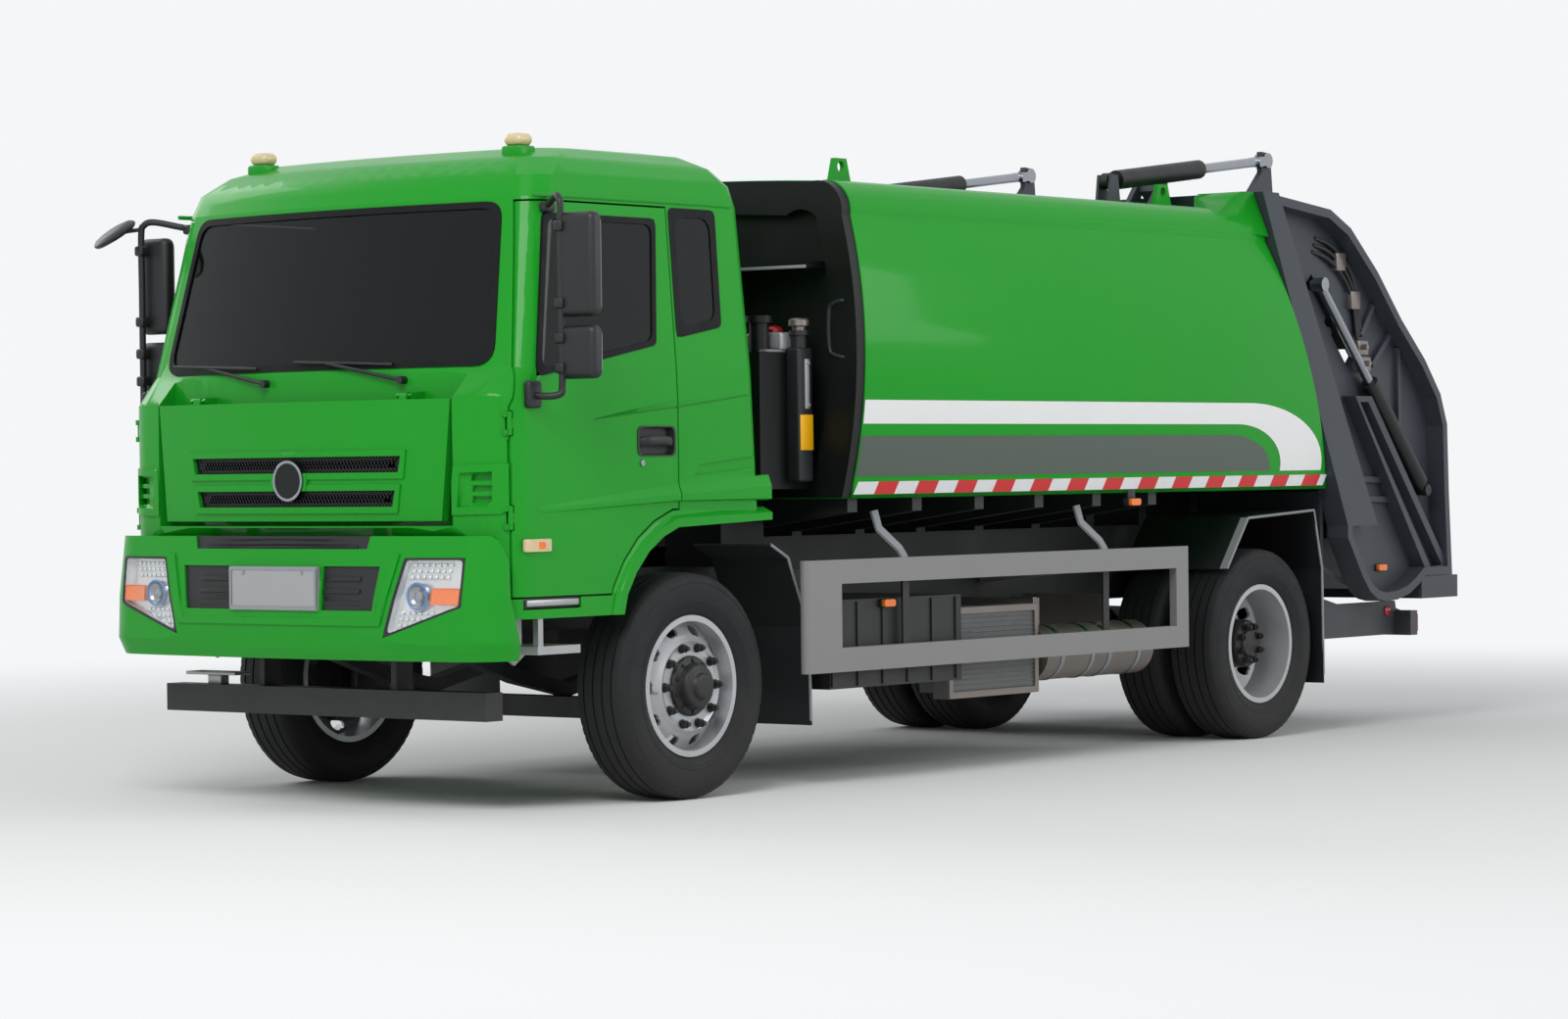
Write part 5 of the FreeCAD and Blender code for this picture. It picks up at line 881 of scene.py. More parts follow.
def add_door_fittings():
    """Handle with its cup liner and lock, sill strip in its recess, and rain gutters."""
    cup = rounded(rectangle(0.092, 1.450, 0.330, 1.572), 0.030)
    liner = relief(cup, on_side, [(0, -0.032), (1.0, -0.032), (1.03, 0.004), (0.94, 0.004), (0.86, -0.024),
                                  (0, -0.026)])
    for place, side in SIDES:
        body = "door_" + place
        make("handle_cup_" + place, [side_of(liner, side)], "moulded_black", body)
        path = smooth_path([(ahead(0.118), 1.100, 1.508), (ahead(0.135), 1.124, 1.510),
                            (ahead(0.200), 1.131, 1.514), (ahead(0.270), 1.128, 1.512),
                            (ahead(0.305), 1.100, 1.508)], 6)
        profile = circle(1.0, 12) * np.array([0.008, 0.019])
        make("handle_" + place, [side_of(carried(profile, path), side)], "moulded_black", body)
        lock = turned([(0.0, 0), (0.0, 0.014), (0.006, 0.013), (0.007, 0)], (ahead(0.305), 1.112, 1.420), 24)
        make("door_lock_" + place, [side_of(lock, side)], "bare_steel", body)
        strip = rounded_box((ahead(0.715), 1.100, 0.846), (ahead(1.030), 1.113, 0.872), 0.003)
        make("sill_strip_" + place, [side_of(strip, side)], "step_aluminium", "cab")
        backing = rounded_box((ahead(0.700), 1.040, 0.836), (ahead(1.040), 1.099, 0.880), 0.003)
        make("sill_recess_" + place, [side_of(backing, side)], "moulded_black", "cab")
    rail = np.array([(-0.385, 2.516), (-0.2, 2.518), (0.2, 2.518), (0.6, 2.517), (0.880, 2.514)])
    line = np.stack([ahead(rail[:, 0]), cab_side(rail[:, 1]) + 0.001, rail[:, 1]], -1)
    gutter = carried(circle(1.0, 8) * np.array([0.006, 0.009]), line)
    make("rain_gutters", both(gutter), "livery_paint", "cab")


def add_roof_lamps():
    """Green foot and cream dome of the two roof lamps."""
    low, high = span("roof_lamps")
    feet, domes = [], []
    for side in (1, -1):
        feet.append(rounded_box((low[0], side * 0.690, high[2] - 0.118),
                                (high[0], side * 0.800, high[2] - 0.052), 0.012, 4))
        domes.append(rounded_box((low[0] + 0.004, side * 0.694, high[2] - 0.054),
                                 (high[0] - 0.004, side * 0.796, high[2]), 0.030, 6))
    make("roof_lamp_feet", feet, "livery_paint", "cab", replaces=("roof_lamps",))
    make("roof_lamp_domes", domes, "cream_lens", "cab")


# Lowest and highest point of each mirror head, and heights of the clamps that hold them on the post.
MIRROR_HEADS = ((2.010, 2.430), (1.760, 1.975))
MIRROR_CLAMPS = (2.375, 2.065, 1.925, 1.805)
MIRROR_DEPTH = 0.062


def near_view_mirror(post, out):
    """Bowl with its arm, and glass, of the round mirror that looks down beside the cab's front."""
    aim = (0.5, 0.25, 0.83)
    centre = np.array([ahead(1.020), out - 0.108, 2.452])
    bowl = turned([(-0.018, 0), (-0.018, 0.096), (-0.010, 0.104), (0.000, 0.104), (0.012, 0.088),
                   (0.019, 0.050), (0.021, 0)], (0, 0, 0), 48, 2)
    arm = tube([(ahead(0.925), post, 2.470), (ahead(0.97), post + 0.03, 2.462), centre], 0.009, 10)
    glass = turned([(-0.020, 0), (-0.020, 0.092), (-0.0185, 0.094), (-0.0175, 0)], (0, 0, 0), 48, 2)
    return [aimed(bowl, aim, centre), arm], aimed(glass, aim, centre)


def add_mirrors():
    """Bent tube, clamps and two housings with their glass a side, and the right side's near-view mirror."""
    x = ahead(0.925)
    for place, side in SIDES:
        low, high = span("mirrors_" + place)
        out = max(abs(low[1]), abs(high[1]))
        post = out - 0.178
        head_in, head_out, back = out - 0.200, out - 0.002, 0.0
        if side < 0:
            head_in, head_out, back = post - 0.120, post + 0.050, 0.035
        path = smooth_path([(ahead(0.985), 1.095, 1.700), (ahead(0.965), post - 0.05, 1.692),
                            (x + 0.008, post - 0.006, 1.700), (x, post, 1.735), (x, post, 1.90),
                            (x, post, 2.20), (x, post, 2.44), (x - 0.006, post - 0.012, 2.487),
                            (x - 0.030, post - 0.05, 2.500), (ahead(0.830), 1.080, 2.478),
                            (ahead(0.800), 1.030, 2.466)], 6)
        shapes = [tube(path, 0.0145, 14)]
        for foot, head in MIRROR_HEADS:
            shapes.append(rounded_box((x - MIRROR_DEPTH - back, head_in, foot),
                                      (x + 0.010 - back, head_out, head), 0.030, 7))
        for height in MIRROR_CLAMPS:
            shapes.append(rounded_box((x - 0.020 - back, post - 0.024, height - 0.022),
                                      (x + 0.024, post + 0.024, height + 0.022), 0.010, 4))
        shapes.append(rounded_box((ahead(0.945), 1.096, 1.645), (ahead(1.025), 1.135, 1.755), 0.014, 5))
        shapes.append(rounded_box((ahead(0.768), 1.022, 2.444), (ahead(0.832), 1.064, 2.486), 0.012, 4))
        panes = []
        for foot, head in ((2.030, 2.410), (1.778, 1.957)):
            edge = rounded(rectangle(head_in + 0.016, foot, head_out - 0.016, head), 0.020)
            panes.append(pad(edge, on_flat(0, x - MIRROR_DEPTH - back, -1), 0.0015, 0.001))
        if side < 0:
            bowl, glass = near_view_mirror(post, out)
            shapes += bowl
            panes.append(glass)
        make("mirror_frame_" + place, [side_of(shape, side) for shape in shapes], "moulded_black",
             "door_" + place, replaces=("mirrors_" + place,))
        make("mirror_glass_" + place, [side_of(shape, side) for shape in panes], "mirror_glass",
             "door_" + place)


def add_grab_loop():
    """Bent grab loop on the body's front edge."""
    front = ahead(-1.070)
    loop = smooth_path([(front - 0.02, 1.180, 2.115), (front + 0.045, 1.170, 2.125),
                        (front + 0.060, 1.115, 2.115), (front + 0.060, 1.085, 2.080),
                        (front + 0.060, 1.085, 1.920), (front + 0.060, 1.115, 1.885),
                        (front + 0.045, 1.170, 1.875), (front - 0.02, 1.180, 1.885)], 8)
    make("grab_loop", [tube(loop, 0.0105, 12)], "chassis_paint", "chassis")


def column_place():
    """X of the oil column's middle and Y of the oil tank's side beside it."""
    x = span("oil_tank")[0][0]
    return x + 0.105, seat("oil_tank", (x + 0.10, 1.6, 1.70), (0, -1, 0))[1]


def add_oil_column():
    """Filler column on the oil tank's side with its cap, level gauge and blank label."""
    x, edge = column_place()
    y, face = edge + 0.036, edge + 0.075
    column = [rounded_box((x - 0.050, edge - 0.004, 1.330), (x + 0.050, face, 1.920), 0.014, 5),
              turned([(1.915, 0), (1.915, 0.034), (1.975, 0.034), (1.975, 0.044), (1.995, 0.044), (1.995, 0)],
                     (x, y, 0), 40, 2)]
    make("oil_column", column, "chassis_paint", "chassis")
    cap = turned([(1.992, 0), (1.992, 0.030), (2.012, 0.030), (2.016, 0.046), (2.040, 0.046), (2.048, 0.036),
                  (2.050, 0)], (x, y, 0), 24, 2)
    make("filler_cap", [cap], "tank_alloy", "chassis")
    gauge = [rounded_box((x - 0.014, face - 0.003, 1.650), (x + 0.014, face + 0.010, 1.870), 0.006, 4)]
    for height in (1.668, 1.852):
        gauge.append(turned([(0.008, 0), (0.008, 0.009), (0.016, 0.008), (0.017, 0)], (x, face, height), 12))
    make("level_gauge", gauge, "plate_steel", "chassis")
    label = rounded_box((x - 0.044, face - 0.003, 1.470), (x + 0.044, face + 0.0015, 1.625), 0.001, 3)
    make("blank_label", [label], "label_yellow", "chassis")


def add_signal_box():
    """Pale shelf on the oil tank with a box and its red lamp."""
    x, edge = column_place()
    top = seat("oil_tank", (x + 0.04, edge - 0.14, 3.0), (0, 0, -1))[2]
    shelf = rounded_box((x - 0.09, edge - 0.26, top - 0.002), (x + 0.17, edge - 0.01, top + 0.012), 0.004)
    make("signal_shelf", [shelf], "edge_grey", "chassis")
    corner = np.array([x - 0.06, edge - 0.20, top + 0.010])
    make("signal_box", [rounded_box(corner, corner + [0.14, 0.20, 0.078], 0.012, 5)], "plate_steel",
         "chassis")
    lens = [(0, 0), (0, 0.046), (0.012, 0.046), (0.026, 0.037), (0.034, 0.018), (0.036, 0)]
    lamp = turned([(top + 0.086 + up, radius) for up, radius in lens], (x + 0.01, edge - 0.10, 0), 32, 2)
    make("signal_lamp", [lamp], "red_lens", "chassis")


def add_bulkhead_strip():
    """Pale strip across the body's front frame."""
    shelf = seat("body_front_frame", (2.2, 0.80, 2.285), (-1, 0, 0))[0]
    strip = rounded_box((shelf - 0.003, -1.03, 2.269), (shelf + 0.010, 1.03, 2.283), 0.002)
    make("bulkhead_strip", [strip], "edge_grey", "chassis")


def add_wheel_and_column():
    """Steering wheel with its three spokes on a column out of the dashboard."""
    foot = seat("dashboard", (ahead(0.30), 0.56, 2.10), (0.80, 0, -0.60))
    middle = foot + [-0.16, 0, 0.16]
    axis = (-0.5, 0, 0.866)
    ring = turned(hoop(0, 0.215, 0.012, 0.013, 13), (0, 0, 0), 64, 2)
    boss = turned([(-0.03, 0), (-0.03, 0.045), (0.002, 0.060), (0.010, 0.050), (0.012, 0)], (0, 0, 0), 32, 2)
    spokes = [tube([(0.04 * math.sin(angle), 0.04 * math.cos(angle), -0.008),
                    (0.21 * math.sin(angle), 0.21 * math.cos(angle), 0.0)], 0.011, 10)
              for angle in (math.pi / 2, math.pi, 3 * math.pi / 2)]
    shapes = [aimed(shape, axis, middle) for shape in [ring, boss] + spokes]
    shapes.append(tube([foot - [-0.02, 0, 0.02], foot + [-0.06, 0, 0.05], middle], 0.026, 20))
    make("steering_wheel", shapes, "moulded_black", "cab")


# Outer edges of the rear and the front mudguards, along and up.
HOOD = ((-1.675, 0.865), (-1.875, 1.115), (-2.505, 1.145), (-2.582, 0.845), (-2.590, 0.300))
FENDER = ((1.951, 1.064), (1.831, 1.004), (1.691, 0.700), (1.681, 0.290))


def add_hood_edges():
    """Light rubber edging along the mudguards' outer edges, wide on the sloped front of the rear hoods."""
    shapes = []
    for line, y in ((HOOD, 1.137), (FENDER, 1.127)):
        path = np.array([(x, y, z) for x, z in line])
        for start, end in zip(path[:-1], path[1:]):
            shapes.append(tube(np.array([start, end]), 0.0065, 10))
    (x0, z0), (x1, z1) = HOOD[:2]
    length = math.hypot(x1 - x0, z1 - z0)
    out = np.array([(z1 - z0) / length, (x0 - x1) / length])
    corners = [np.array((x0, z0)) - out * 0.003, np.array((x1, z1)) - out * 0.003,
               np.array((x1, z1)) + out * 0.004, np.array((x0, z0)) + out * 0.004]
    shapes.append(slab(corners, 1.096, 1.142))
    make("hood_edges", both(*shapes), "edge_grey", "chassis")


def add_underrun_step():
    """Small step plate on a foot at the right end of the front beam."""
    top = seat("underrun_beam", (3.50, -0.68, 1.2), (0, 0, -1))[2]
    shapes = [rounded_box((3.445, -0.83, top + 0.040), (3.545, -0.53, top + 0.054), 0.004),
              rounded_box((3.470, -0.72, top - 0.003), (3.520, -0.64, top + 0.042), 0.004)]
    make("underrun_step", shapes, "step_aluminium", "chassis")


# Low and high edge, start and end of the slats; those that end short of the middle are mirrored.
SLATS = ((0.852, 0.872, -0.466, -0.270), (0.902, 0.922, -0.466, -0.270), (0.952, 0.972, -0.466, -0.270),
         (1.088, 1.096, -0.44, 0.44), (1.112, 1.120, -0.44, 0.44))


def add_insert_slats():
    """Slats of the bumper's two dark inserts and of the opening above the plate."""
    outlines = []
    for low, high, start, end in SLATS:
        outlines.append(rounded(rectangle(start, low, end, high), 0.004, arc=3, run=8))
        if end < 0:
            outlines.append(outlines[-1] * np.array([-1, 1]))
    shapes = []
    for outline in outlines:
        spot = outline.mean(0)
        lift = front_of("bumper_grilles", *spot) - on_bumper(spot[None], 0.0)[0][0]
        rows = [(0, lift - 0.020), (1, lift - 0.020), (1, lift + 0.005), (0.97, lift + 0.007),
                (0, lift + 0.007)]
        shapes.append(relief(outline, on_bumper, rows))
    make("insert_slats", shapes, "cast_black", "cab")


def add_tail_lenses():
    """Orange, pale and red lenses on each tail lamp, and the red side lamps of the underrun bar."""
    points = np.array([vertex.co for vertex in NODES["tail_lamps"].data.vertices])
    points = points[points[:, 1] > 0]
    low, high = points.min(0), points.max(0)
    step = (high[1] - low[1] - 0.02) / 3
    for index, finish_name in enumerate(("red_lens", "cream_lens", "orange_lens")):
        start = low[1] + 0.01 + index * step
        shape = rounded_box((low[0] - 0.007, start + 0.003, low[2] + 0.010),
                            (low[0] + 0.003, start + step - 0.003, high[2] - 0.010), 0.005, 4)
        make("tail_lens_%d" % index, both(shape), finish_name, "chassis")
    lamp = turned([(-0.002, 0), (-0.002, 0.026), (0.008, 0.026), (0.012, 0.020), (0.013, 0)],
                  flank("rear_underrun", -5.80, 0.60), 28)
    make("side_reflector", both(lamp), "red_lens", "chassis")


def add_radiator():
    """Frame of the radiator and the level fins of its core."""
    low, high = span("radiator")
    fins = []
    for height in np.arange(low[2] + 0.035, high[2] - 0.03, 0.022):
        fins.append(rounded_box((low[0] + 0.03, high[1] - 0.004, height),
                                (high[0] - 0.03, high[1] + 0.006, height + 0.007), 0.002, 2))
    edge = rectangle(low[0], low[2], high[0], high[2])
    ring = band(rounded(edge, 0.010, -0.001), rounded(edge, 0.008, -0.030), on_flat(1, high[1]), 0.012)
    make("radiator_frame", [ring], "tank_alloy", "chassis")
    make("radiator_fins", fins, "radiator_core", "chassis")


def add_tank_straps():
    """Steel straps round the air tank, laid on its skin from the rail's side over top and belly."""
    low, high = span("air_tanks")
    radius = (high[2] - low[2]) / 2
    middle = np.array([high[1] - radius, low[2] + radius])
    profile = rectangle(-0.002, -0.014, 0.003, 0.014)
    shapes = []
    for share in (0.14, 0.42, 0.58, 0.86):
        x = low[0] + (high[0] - low[0]) * share
        path = []
        for angle in np.linspace(math.radians(118), math.radians(-118), 33):
            out = np.array([0.0, math.cos(angle), math.sin(angle)])
            origin = np.array([x, *middle]) + out * (radius + 0.12)
            path.append(seat("air_tanks", origin, -out) + out * 0.0015)
        shapes.append(carried(profile, path, (1, 0, 0)))
    make("tank_straps", shapes, "bare_steel", "chassis")


def add_guard_stays():
    """Two flat stays behind each side guard, black up to its top, with pale heads that lean inward."""
    profile = rectangle(-0.006, -0.024, 0.006, 0.024)
    feet, heads = [], []
    for distance in (-1.41, -3.00):
        x, y = seat("side_guards", (ahead(distance), 0.6, 0.930), (0, 1, 0))[:2]
        line = np.array([(x, y - 0.005, 0.560), (x, y - 0.005, 0.985), (x + 0.02, y - 0.020, 1.030),
                         (x + 0.09, y - 0.080, 1.120), (x + 0.10, y - 0.100, 1.200)])
        feet.append(carried(profile, line[:2], (1, 0, 0)))
        heads.append(carried(profile, line[1:] - [0, 0, 0.002], (1, 0, 0)))
    make("guard_stays", both(*feet), "chassis_paint", "chassis")
    make("guard_stay_heads", both(*heads), "edge_grey", "chassis")


# Distance ahead and height of the oil lines' course, of their clamps and of the valve blocks below.
LINE_COURSE = ((-5.010, 2.470), (-5.120, 2.440), (-5.240, 2.380), (-5.340, 2.290), (-5.395, 2.170),
               (-5.425, 2.010))
LINE_CLAMPS = ((-5.240, 2.395), (-5.385, 2.200))
VALVE_BLOCKS = ((-5.455, 1.900), (-5.430, 1.985))


def add_gate_lines():
    """Oil lines side by side along the tailgate's slope, their clamps, and the valve blocks at their foot."""
    lines, blocks = [], []
    for distance, height in VALVE_BLOCKS:
        x, y = flank("tailgate_shell", distance, height)[:2]
        blocks.append(rounded_box((x - 0.050, y - 0.006, height - 0.040),
                                  (x + 0.050, y + 0.055, height + 0.035), 0.006, 3))
        blocks.append(turned([(0, 0), (0, 0.014), (0.045, 0.014), (0.045, 0)],
                             (x + 0.02, y + 0.045, height), 16))
    for shift in (0.0, 0.035, 0.070):
        route = np.array([flank("tailgate_shell", distance - shift * 0.4, height + shift)
                          for distance, height in LINE_COURSE])
        route[:, 1] = route[:, 1].min() + 0.018
        route[0, 1] -= 0.02
        lines.append(tube(smooth_path(route, 8), 0.0105, 10))
    for distance, height in LINE_CLAMPS:
        x, y = flank("tailgate_shell", distance, height)[:2]
        blocks.append(rounded_box((x - 0.055, y - 0.004, height - 0.018),
                                  (x + 0.035, y + 0.034, height + 0.075), 0.005, 3))
    make("gate_lines", both(*lines), "chassis_paint", "tailgate")
    make("gate_valves", both(*blocks), "tank_alloy", "tailgate")


# Wheels. A tyre's bead is the radius where it meets the rim; rings are (radius, distance out) on its wall.
BEAD_RADIUS = 0.2905
TYRE_STEPS = 264
NOTCH_EVERY, NOTCH_DEPTH = 4, 0.0035
SHOULDER_SHARE, SHOULDER_RADIUS = 0.80, 0.455
WALL_RINGS = ((0.3375, 0.1285), (0.352, 0.1333), (0.436, 0.1335))
WASHER = ((0, 0), (0, 0.021), (0.006, 0.021), (0.008, 0))
NUT = ((0.004, 0), (0.004, 0.0165), (0.030, 0.0165), (0.033, 0.013), (0.033, 0))
STUD = ((0.030, 0), (0.030, 0.010), (0.043, 0.010), (0.045, 0.008), (0.045, 0))
HUB_BOLT = ((0.012, 0), (0.012, 0.009), (0.028, 0.008), (0.029, 0))


def tyre_profile(depth):
    """Outer wall, tread with four grooves and inner wall of a road tyre, as (sideways, radius)."""
    half = TYRE_WIDTH / 2
    wall = smooth_path([(0.760 * half, BEAD_RADIUS), (0.770 * half, 0.300), (0.86 * half, 0.316),
                        (0.955 * half, 0.345), (half, 0.388), (0.985 * half, 0.425), (0.93 * half, 0.452),
                        (0.84 * half, 0.4690)], 5)
    groove = 0.0045
    crown = [(0.84 * half, 0.4690), (0.78 * half, 0.4735)]
    for place in (0.54, 0.18):
        centre = place * half
        for out, drop in ((groove, 0), (groove * 0.7, depth), (-groove * 0.7, depth), (-groove, 0)):
            crown.append((centre + out, TYRE_RADIUS - 0.003 * (centre / half) ** 2 - drop))
    right = np.vstack([wall[:-1], crown])
    left = right[::-1] * np.array([-1, 1])
    return np.vstack([right, left])


def tyre_shape(centre):
    """A tyre: the profile turned, with shallow notches along both shoulders, and a lining under it."""
    profile = tyre_profile(bpy.context.scene.truck_sizes.groove)
    angle = np.linspace(0, 2 * np.pi, TYRE_STEPS, endpoint=False)[:, None]
    radius = np.broadcast_to(profile[None, :, 1], (TYRE_STEPS, len(profile))).copy()
    shoulder = (np.abs(profile[:, 0]) > SHOULDER_SHARE * TYRE_WIDTH / 2) & (profile[:, 1] > SHOULDER_RADIUS)
    notch = np.arange(TYRE_STEPS) % NOTCH_EVERY == 0
    radius[np.ix_(notch, shoulder)] -= NOTCH_DEPTH
    along = np.broadcast_to(profile[None, :, 0], radius.shape)
    points = np.stack([radius * np.sin(angle), along, radius * np.cos(angle)], -1) + np.asarray(centre)
    inner = BEAD_RADIUS - 0.001
    lining = turned([(-0.105, BEAD_RADIUS), (-0.100, inner), (0.100, inner), (0.105, BEAD_RADIUS)], centre,
                    TYRE_STEPS)
    return [quads(points, wrap_u=True), lining]


def wall_rings(centre, side):
    """The raised rings on one side wall of a tyre."""
    return [turned([(side * (out - 0.002), radius - 0.003), (side * (out + 0.002), radius),
                    (side * (out - 0.002), radius + 0.003)], centre, 120) for radius, out in WALL_RINGS]


def outward(profile, side, face):
    """A profile of (distance out of a wheel's face, radius), on the side asked for."""
    return [(side * (face + out), radius) for out, radius in profile]


def ring_spots(centre, count, radius, phase):
    """Places spaced evenly on a circle about a wheel's axis."""
    angles = [2 * math.pi * (index + phase) / count for index in range(count)]
    return [np.array(centre) + [math.sin(angle) * radius, 0, math.cos(angle) * radius] for angle in angles]


def nut_ring(centre, side, face, count=10, radius=0.1675):
    """Wheel nuts: hexagons with their washers and studs on the bolt circle."""
    return [turned(outward(profile, side, face), spot, steps)
            for spot in ring_spots(centre, count, radius, 0.5)
            for profile, steps in ((WASHER, 20), (NUT, 6), (STUD, 14))]


def front_hub(centre, side, face):
    """The black hub that stands out of the front wheel's middle: flange, drum and ribbed cap."""
    profile = smooth_path([(0, 0.128), (0.012, 0.127), (0.020, 0.118), (0.024, 0.100), (0.050, 0.094),
                           (0.062, 0.086), (0.066, 0.060), (0.076, 0.054), (0.084, 0.046), (0.086, 0.030)], 3)
    shapes = [turned(outward([*profile, (0.086, 0)], side, face), centre, 64)]
    bolt = outward(HUB_BOLT, side, face)
    return shapes + [turned(bolt, spot, 8) for spot in ring_spots(centre, 10, 0.110, 0)]


def valve(centre, side, reach):
    """A bent valve stem, lying in the rim."""
    x, y, z = centre
    path = smooth_path([(x + 0.232, y + side * 0.02, z - 0.02), (x + 0.228, y + side * 0.05, z - 0.02),
                        (x + 0.215, y + side * reach, z - 0.02)], 6)
    return tube(path, 0.005, 8)


def disc_face(node, centre, side, radius=0.125):
    """How far out of the wheel's middle plane a rim's face lies at a radius, by default the bolting face."""
    spot = seat(node, (centre[0], side * OUTSIDE, centre[2] + radius), (0, -side, 0))
    return side * spot[1] - abs(centre[1])


def add_wheels():
    """Tyres, nuts, hubs and valves: one tyre a side in front, twin tyres behind."""
    for place, side in SIDES:
        centre = np.array([AXLE, side * WHEEL_PLANE, TYRE_RADIUS])
        name = "front_" + place
        body = "wheel_" + name
        rings = wall_rings(centre, side) + wall_rings(centre, -side)
        make("tyre_tread_" + name, tyre_shape(centre) + rings, "tyre_rubber", body,
             replaces=("tyre_" + name,))
        face = disc_face("rim_" + name, centre, side)
        nuts = nut_ring(centre, side, face) + front_hub(centre, side, face)
        make("wheel_nuts_" + name, nuts, "cast_black", body)
        make("valve_" + name, [valve(centre, side, 0.11)], "wheel_silver", body)

        outer = np.array([REAR_AXLE, side * WHEEL_PLANE, TYRE_RADIUS])
        inner = outer - [0, side * TWIN_PITCH, 0]
        name = "rear_" + place
        body = "wheel_" + name
        rings = wall_rings(outer, side) + wall_rings(inner, -side)
        make("tyre_tread_" + name, tyre_shape(outer) + tyre_shape(inner) + rings, "tyre_rubber", body,
             replaces=("tyres_" + name,))
        face = disc_face("rims_" + name, outer, side)
        cap = disc_face("rims_" + name, outer, side, 0.05) - face
        drum = [(0.0, 0.132), (0.030, 0.128), (cap - 0.040, 0.121), (cap - 0.006, 0.119),
                (cap + 0.004, 0.112), (cap + 0.004, 0.070), (cap + 0.016, 0.064), (cap + 0.020, 0.052),
                (cap + 0.020, 0)]
        nuts = nut_ring(outer, side, face) + nut_ring(outer, side, face + cap + 0.003, 8, 0.090)
        nuts.append(turned(outward(drum, side, face), outer, 64))
        make("wheel_nuts_" + name, nuts, "cast_black", body)
        make("valve_" + name, [valve(outer, side, 0.02)], "wheel_silver", body)


# Films on the refuse body: their foot and front edge, where each curve bends and ends, and its top.
FILM_FOOT = 1.350
FILM_FRONT = ahead(-1.0702)
BENDS = {"stripe": (-4.230, -4.985), "gap": (-4.130, -4.590), "band": (-4.060, -4.490)}
GAP_TOP, BAND_TOP = 1.583, 1.529


def bend_columns(name, first=0.0, steps=24):
    """Columns along a curve's bend, closer together towards its end."""
    start, end = (ahead(distance) for distance in BENDS[name])
    return start + (end - start) * np.sin(np.linspace(first, np.pi / 2, steps))


def quarter(columns, name, top):
    """Height of a curve that is level up to its bend and falls to the foot at its end along an ellipse."""
    start, end = (ahead(distance) for distance in BENDS[name])
    share = np.clip((start - columns) / (start - end), 0, 1)
    return FILM_FOOT + (top - FILM_FOOT) * np.sqrt(np.clip(1 - share ** 2, 0, 1))


def add_films():
    """The long pale stripe and the dark band below it, both laid on the barrel side."""
    sizes = bpy.context.scene.truck_sizes
    starts = {name: ahead(distances[0]) for name, distances in BENDS.items()}
    level = np.linspace(FILM_FRONT, starts["stripe"], 12)
    stripe = np.unique(np.concatenate([level, bend_columns("stripe"), bend_columns("gap")]))[::-1]
    dark = np.concatenate([np.linspace(FILM_FRONT, starts["band"], 12), bend_columns("band", 0.1, 20)])
    for place, side in SIDES:
        film = film_on_side(quarter(stripe, "stripe", sizes.stripe_top), quarter(stripe, "gap", GAP_TOP),
                            stripe, sizes.film, side)
        make("stripe_film_" + place, [film], "stripe_film", "chassis", closed=False)
        film = film_on_side(quarter(dark, "band", BAND_TOP), np.full_like(dark, FILM_FOOT), dark,
                            sizes.film, side)
        make("band_film_" + place, [film], "band_film", "chassis", closed=False)


def add_tape():
    """Red and white blocks with slanted ends along the body's foot."""
    sizes = bpy.context.scene.truck_sizes
    block, film = sizes.tape_block, sizes.film
    high, low, slant = 1.328, 1.272, 0.020
    front = ahead(-1.075)
    rear = body_rear(low) + 0.015
    count = int((front - rear) / block)
    for place, side in SIDES:
        for finish_name, first in (("tape_white", 0), ("tape_red", 1)):
            shapes = []
            for index in range(first, count + 1, 2):
                start = front - index * block
                end = max(start - block, rear + slant)
                share = np.linspace(0, 1, 4)[None, :]
                height = np.broadcast_to(high + (low - high) * share, (2, 4))
                x = np.array([[start], [end]]) - slant * (1 - share)
                x = np.clip(x, rear, front)
                shapes.append(side_of(quads(np.stack([x, body_side(height) + film, height], -1)), side))
            make(finish_name + "_" + place, shapes, finish_name, "chassis", closed=False)


# Finishes of the CAD nodes that keep their own shape.
NODE_FINISHES = {
    "chassis_paint": ("frame_rails", "underrun_beam", "front_axle", "rear_axle", "body_subframe",
                      "battery_cases"),
    "cast_black": ("drive_motor", "knuckle_left", "knuckle_right", "packer_barrels", "lift_barrels"),
    # Painted shade: the bulkhead, the oil tank and the flap's grilles take a black darker than the chassis
    # lacquer.
    "black_with_painted_shade": ("body_front_frame", "oil_tank", "flap_grilles"),
    "gate_paint": ("roof_brackets", "rear_underrun", "tailgate_shell", "hopper_trough", "packer_carriage",
                   "packer_blade", "ejector_plate"),
    "moulded_black": ("front_mudguards", "rear_mudguards", "dashboard", "wipers", "bumper_grilles",
                      "mirrors_left", "mirrors_right"),
    "wheel_silver": ("rim_front_left", "rim_front_right", "rims_rear_left", "rims_rear_right"),
    # The door and quarter windows' black glass is painted shade of the cab's inside.
    # The windscreen's near black glass is painted shade of the cab's inside.
    "side_glass_with_painted_shade": ("quarter_windows", "door_glass_left", "door_glass_right"), "windscreen_glass_with_painted_shade": ("windscreen",),
    "bare_steel": ("packer_rods", "lift_rods"), "body_paint": ("lifting_lugs",),
    "guard_paint": ("side_guards",), "radiator_core": ("radiator",), "tank_alloy": ("air_tanks",),
    "step_aluminium": ("cab_steps",), "red_lens": ("tail_lamps",), "cream_lens": ("roof_lamps",),
    "lamp_lens": ("headlamps",), "plate_steel": ("number_plate",), "seat_cloth": ("seats",),
}
# Nodes shown as a smooth copy: their finish and body, and the angle above which an edge is sharp.
SKINS = {
    "cab_shell": ("livery_paint", "cab"), "front_flap": ("livery_paint", "front_flap"),
    "front_bumper": ("livery_paint", "cab"), "door_left": ("livery_paint", "door_left"),
    "door_right": ("livery_paint", "door_right"), "refuse_body": ("body_paint", "chassis"),
}
PANEL_CREASE = 14
CREASES = {"refuse_body": 60}


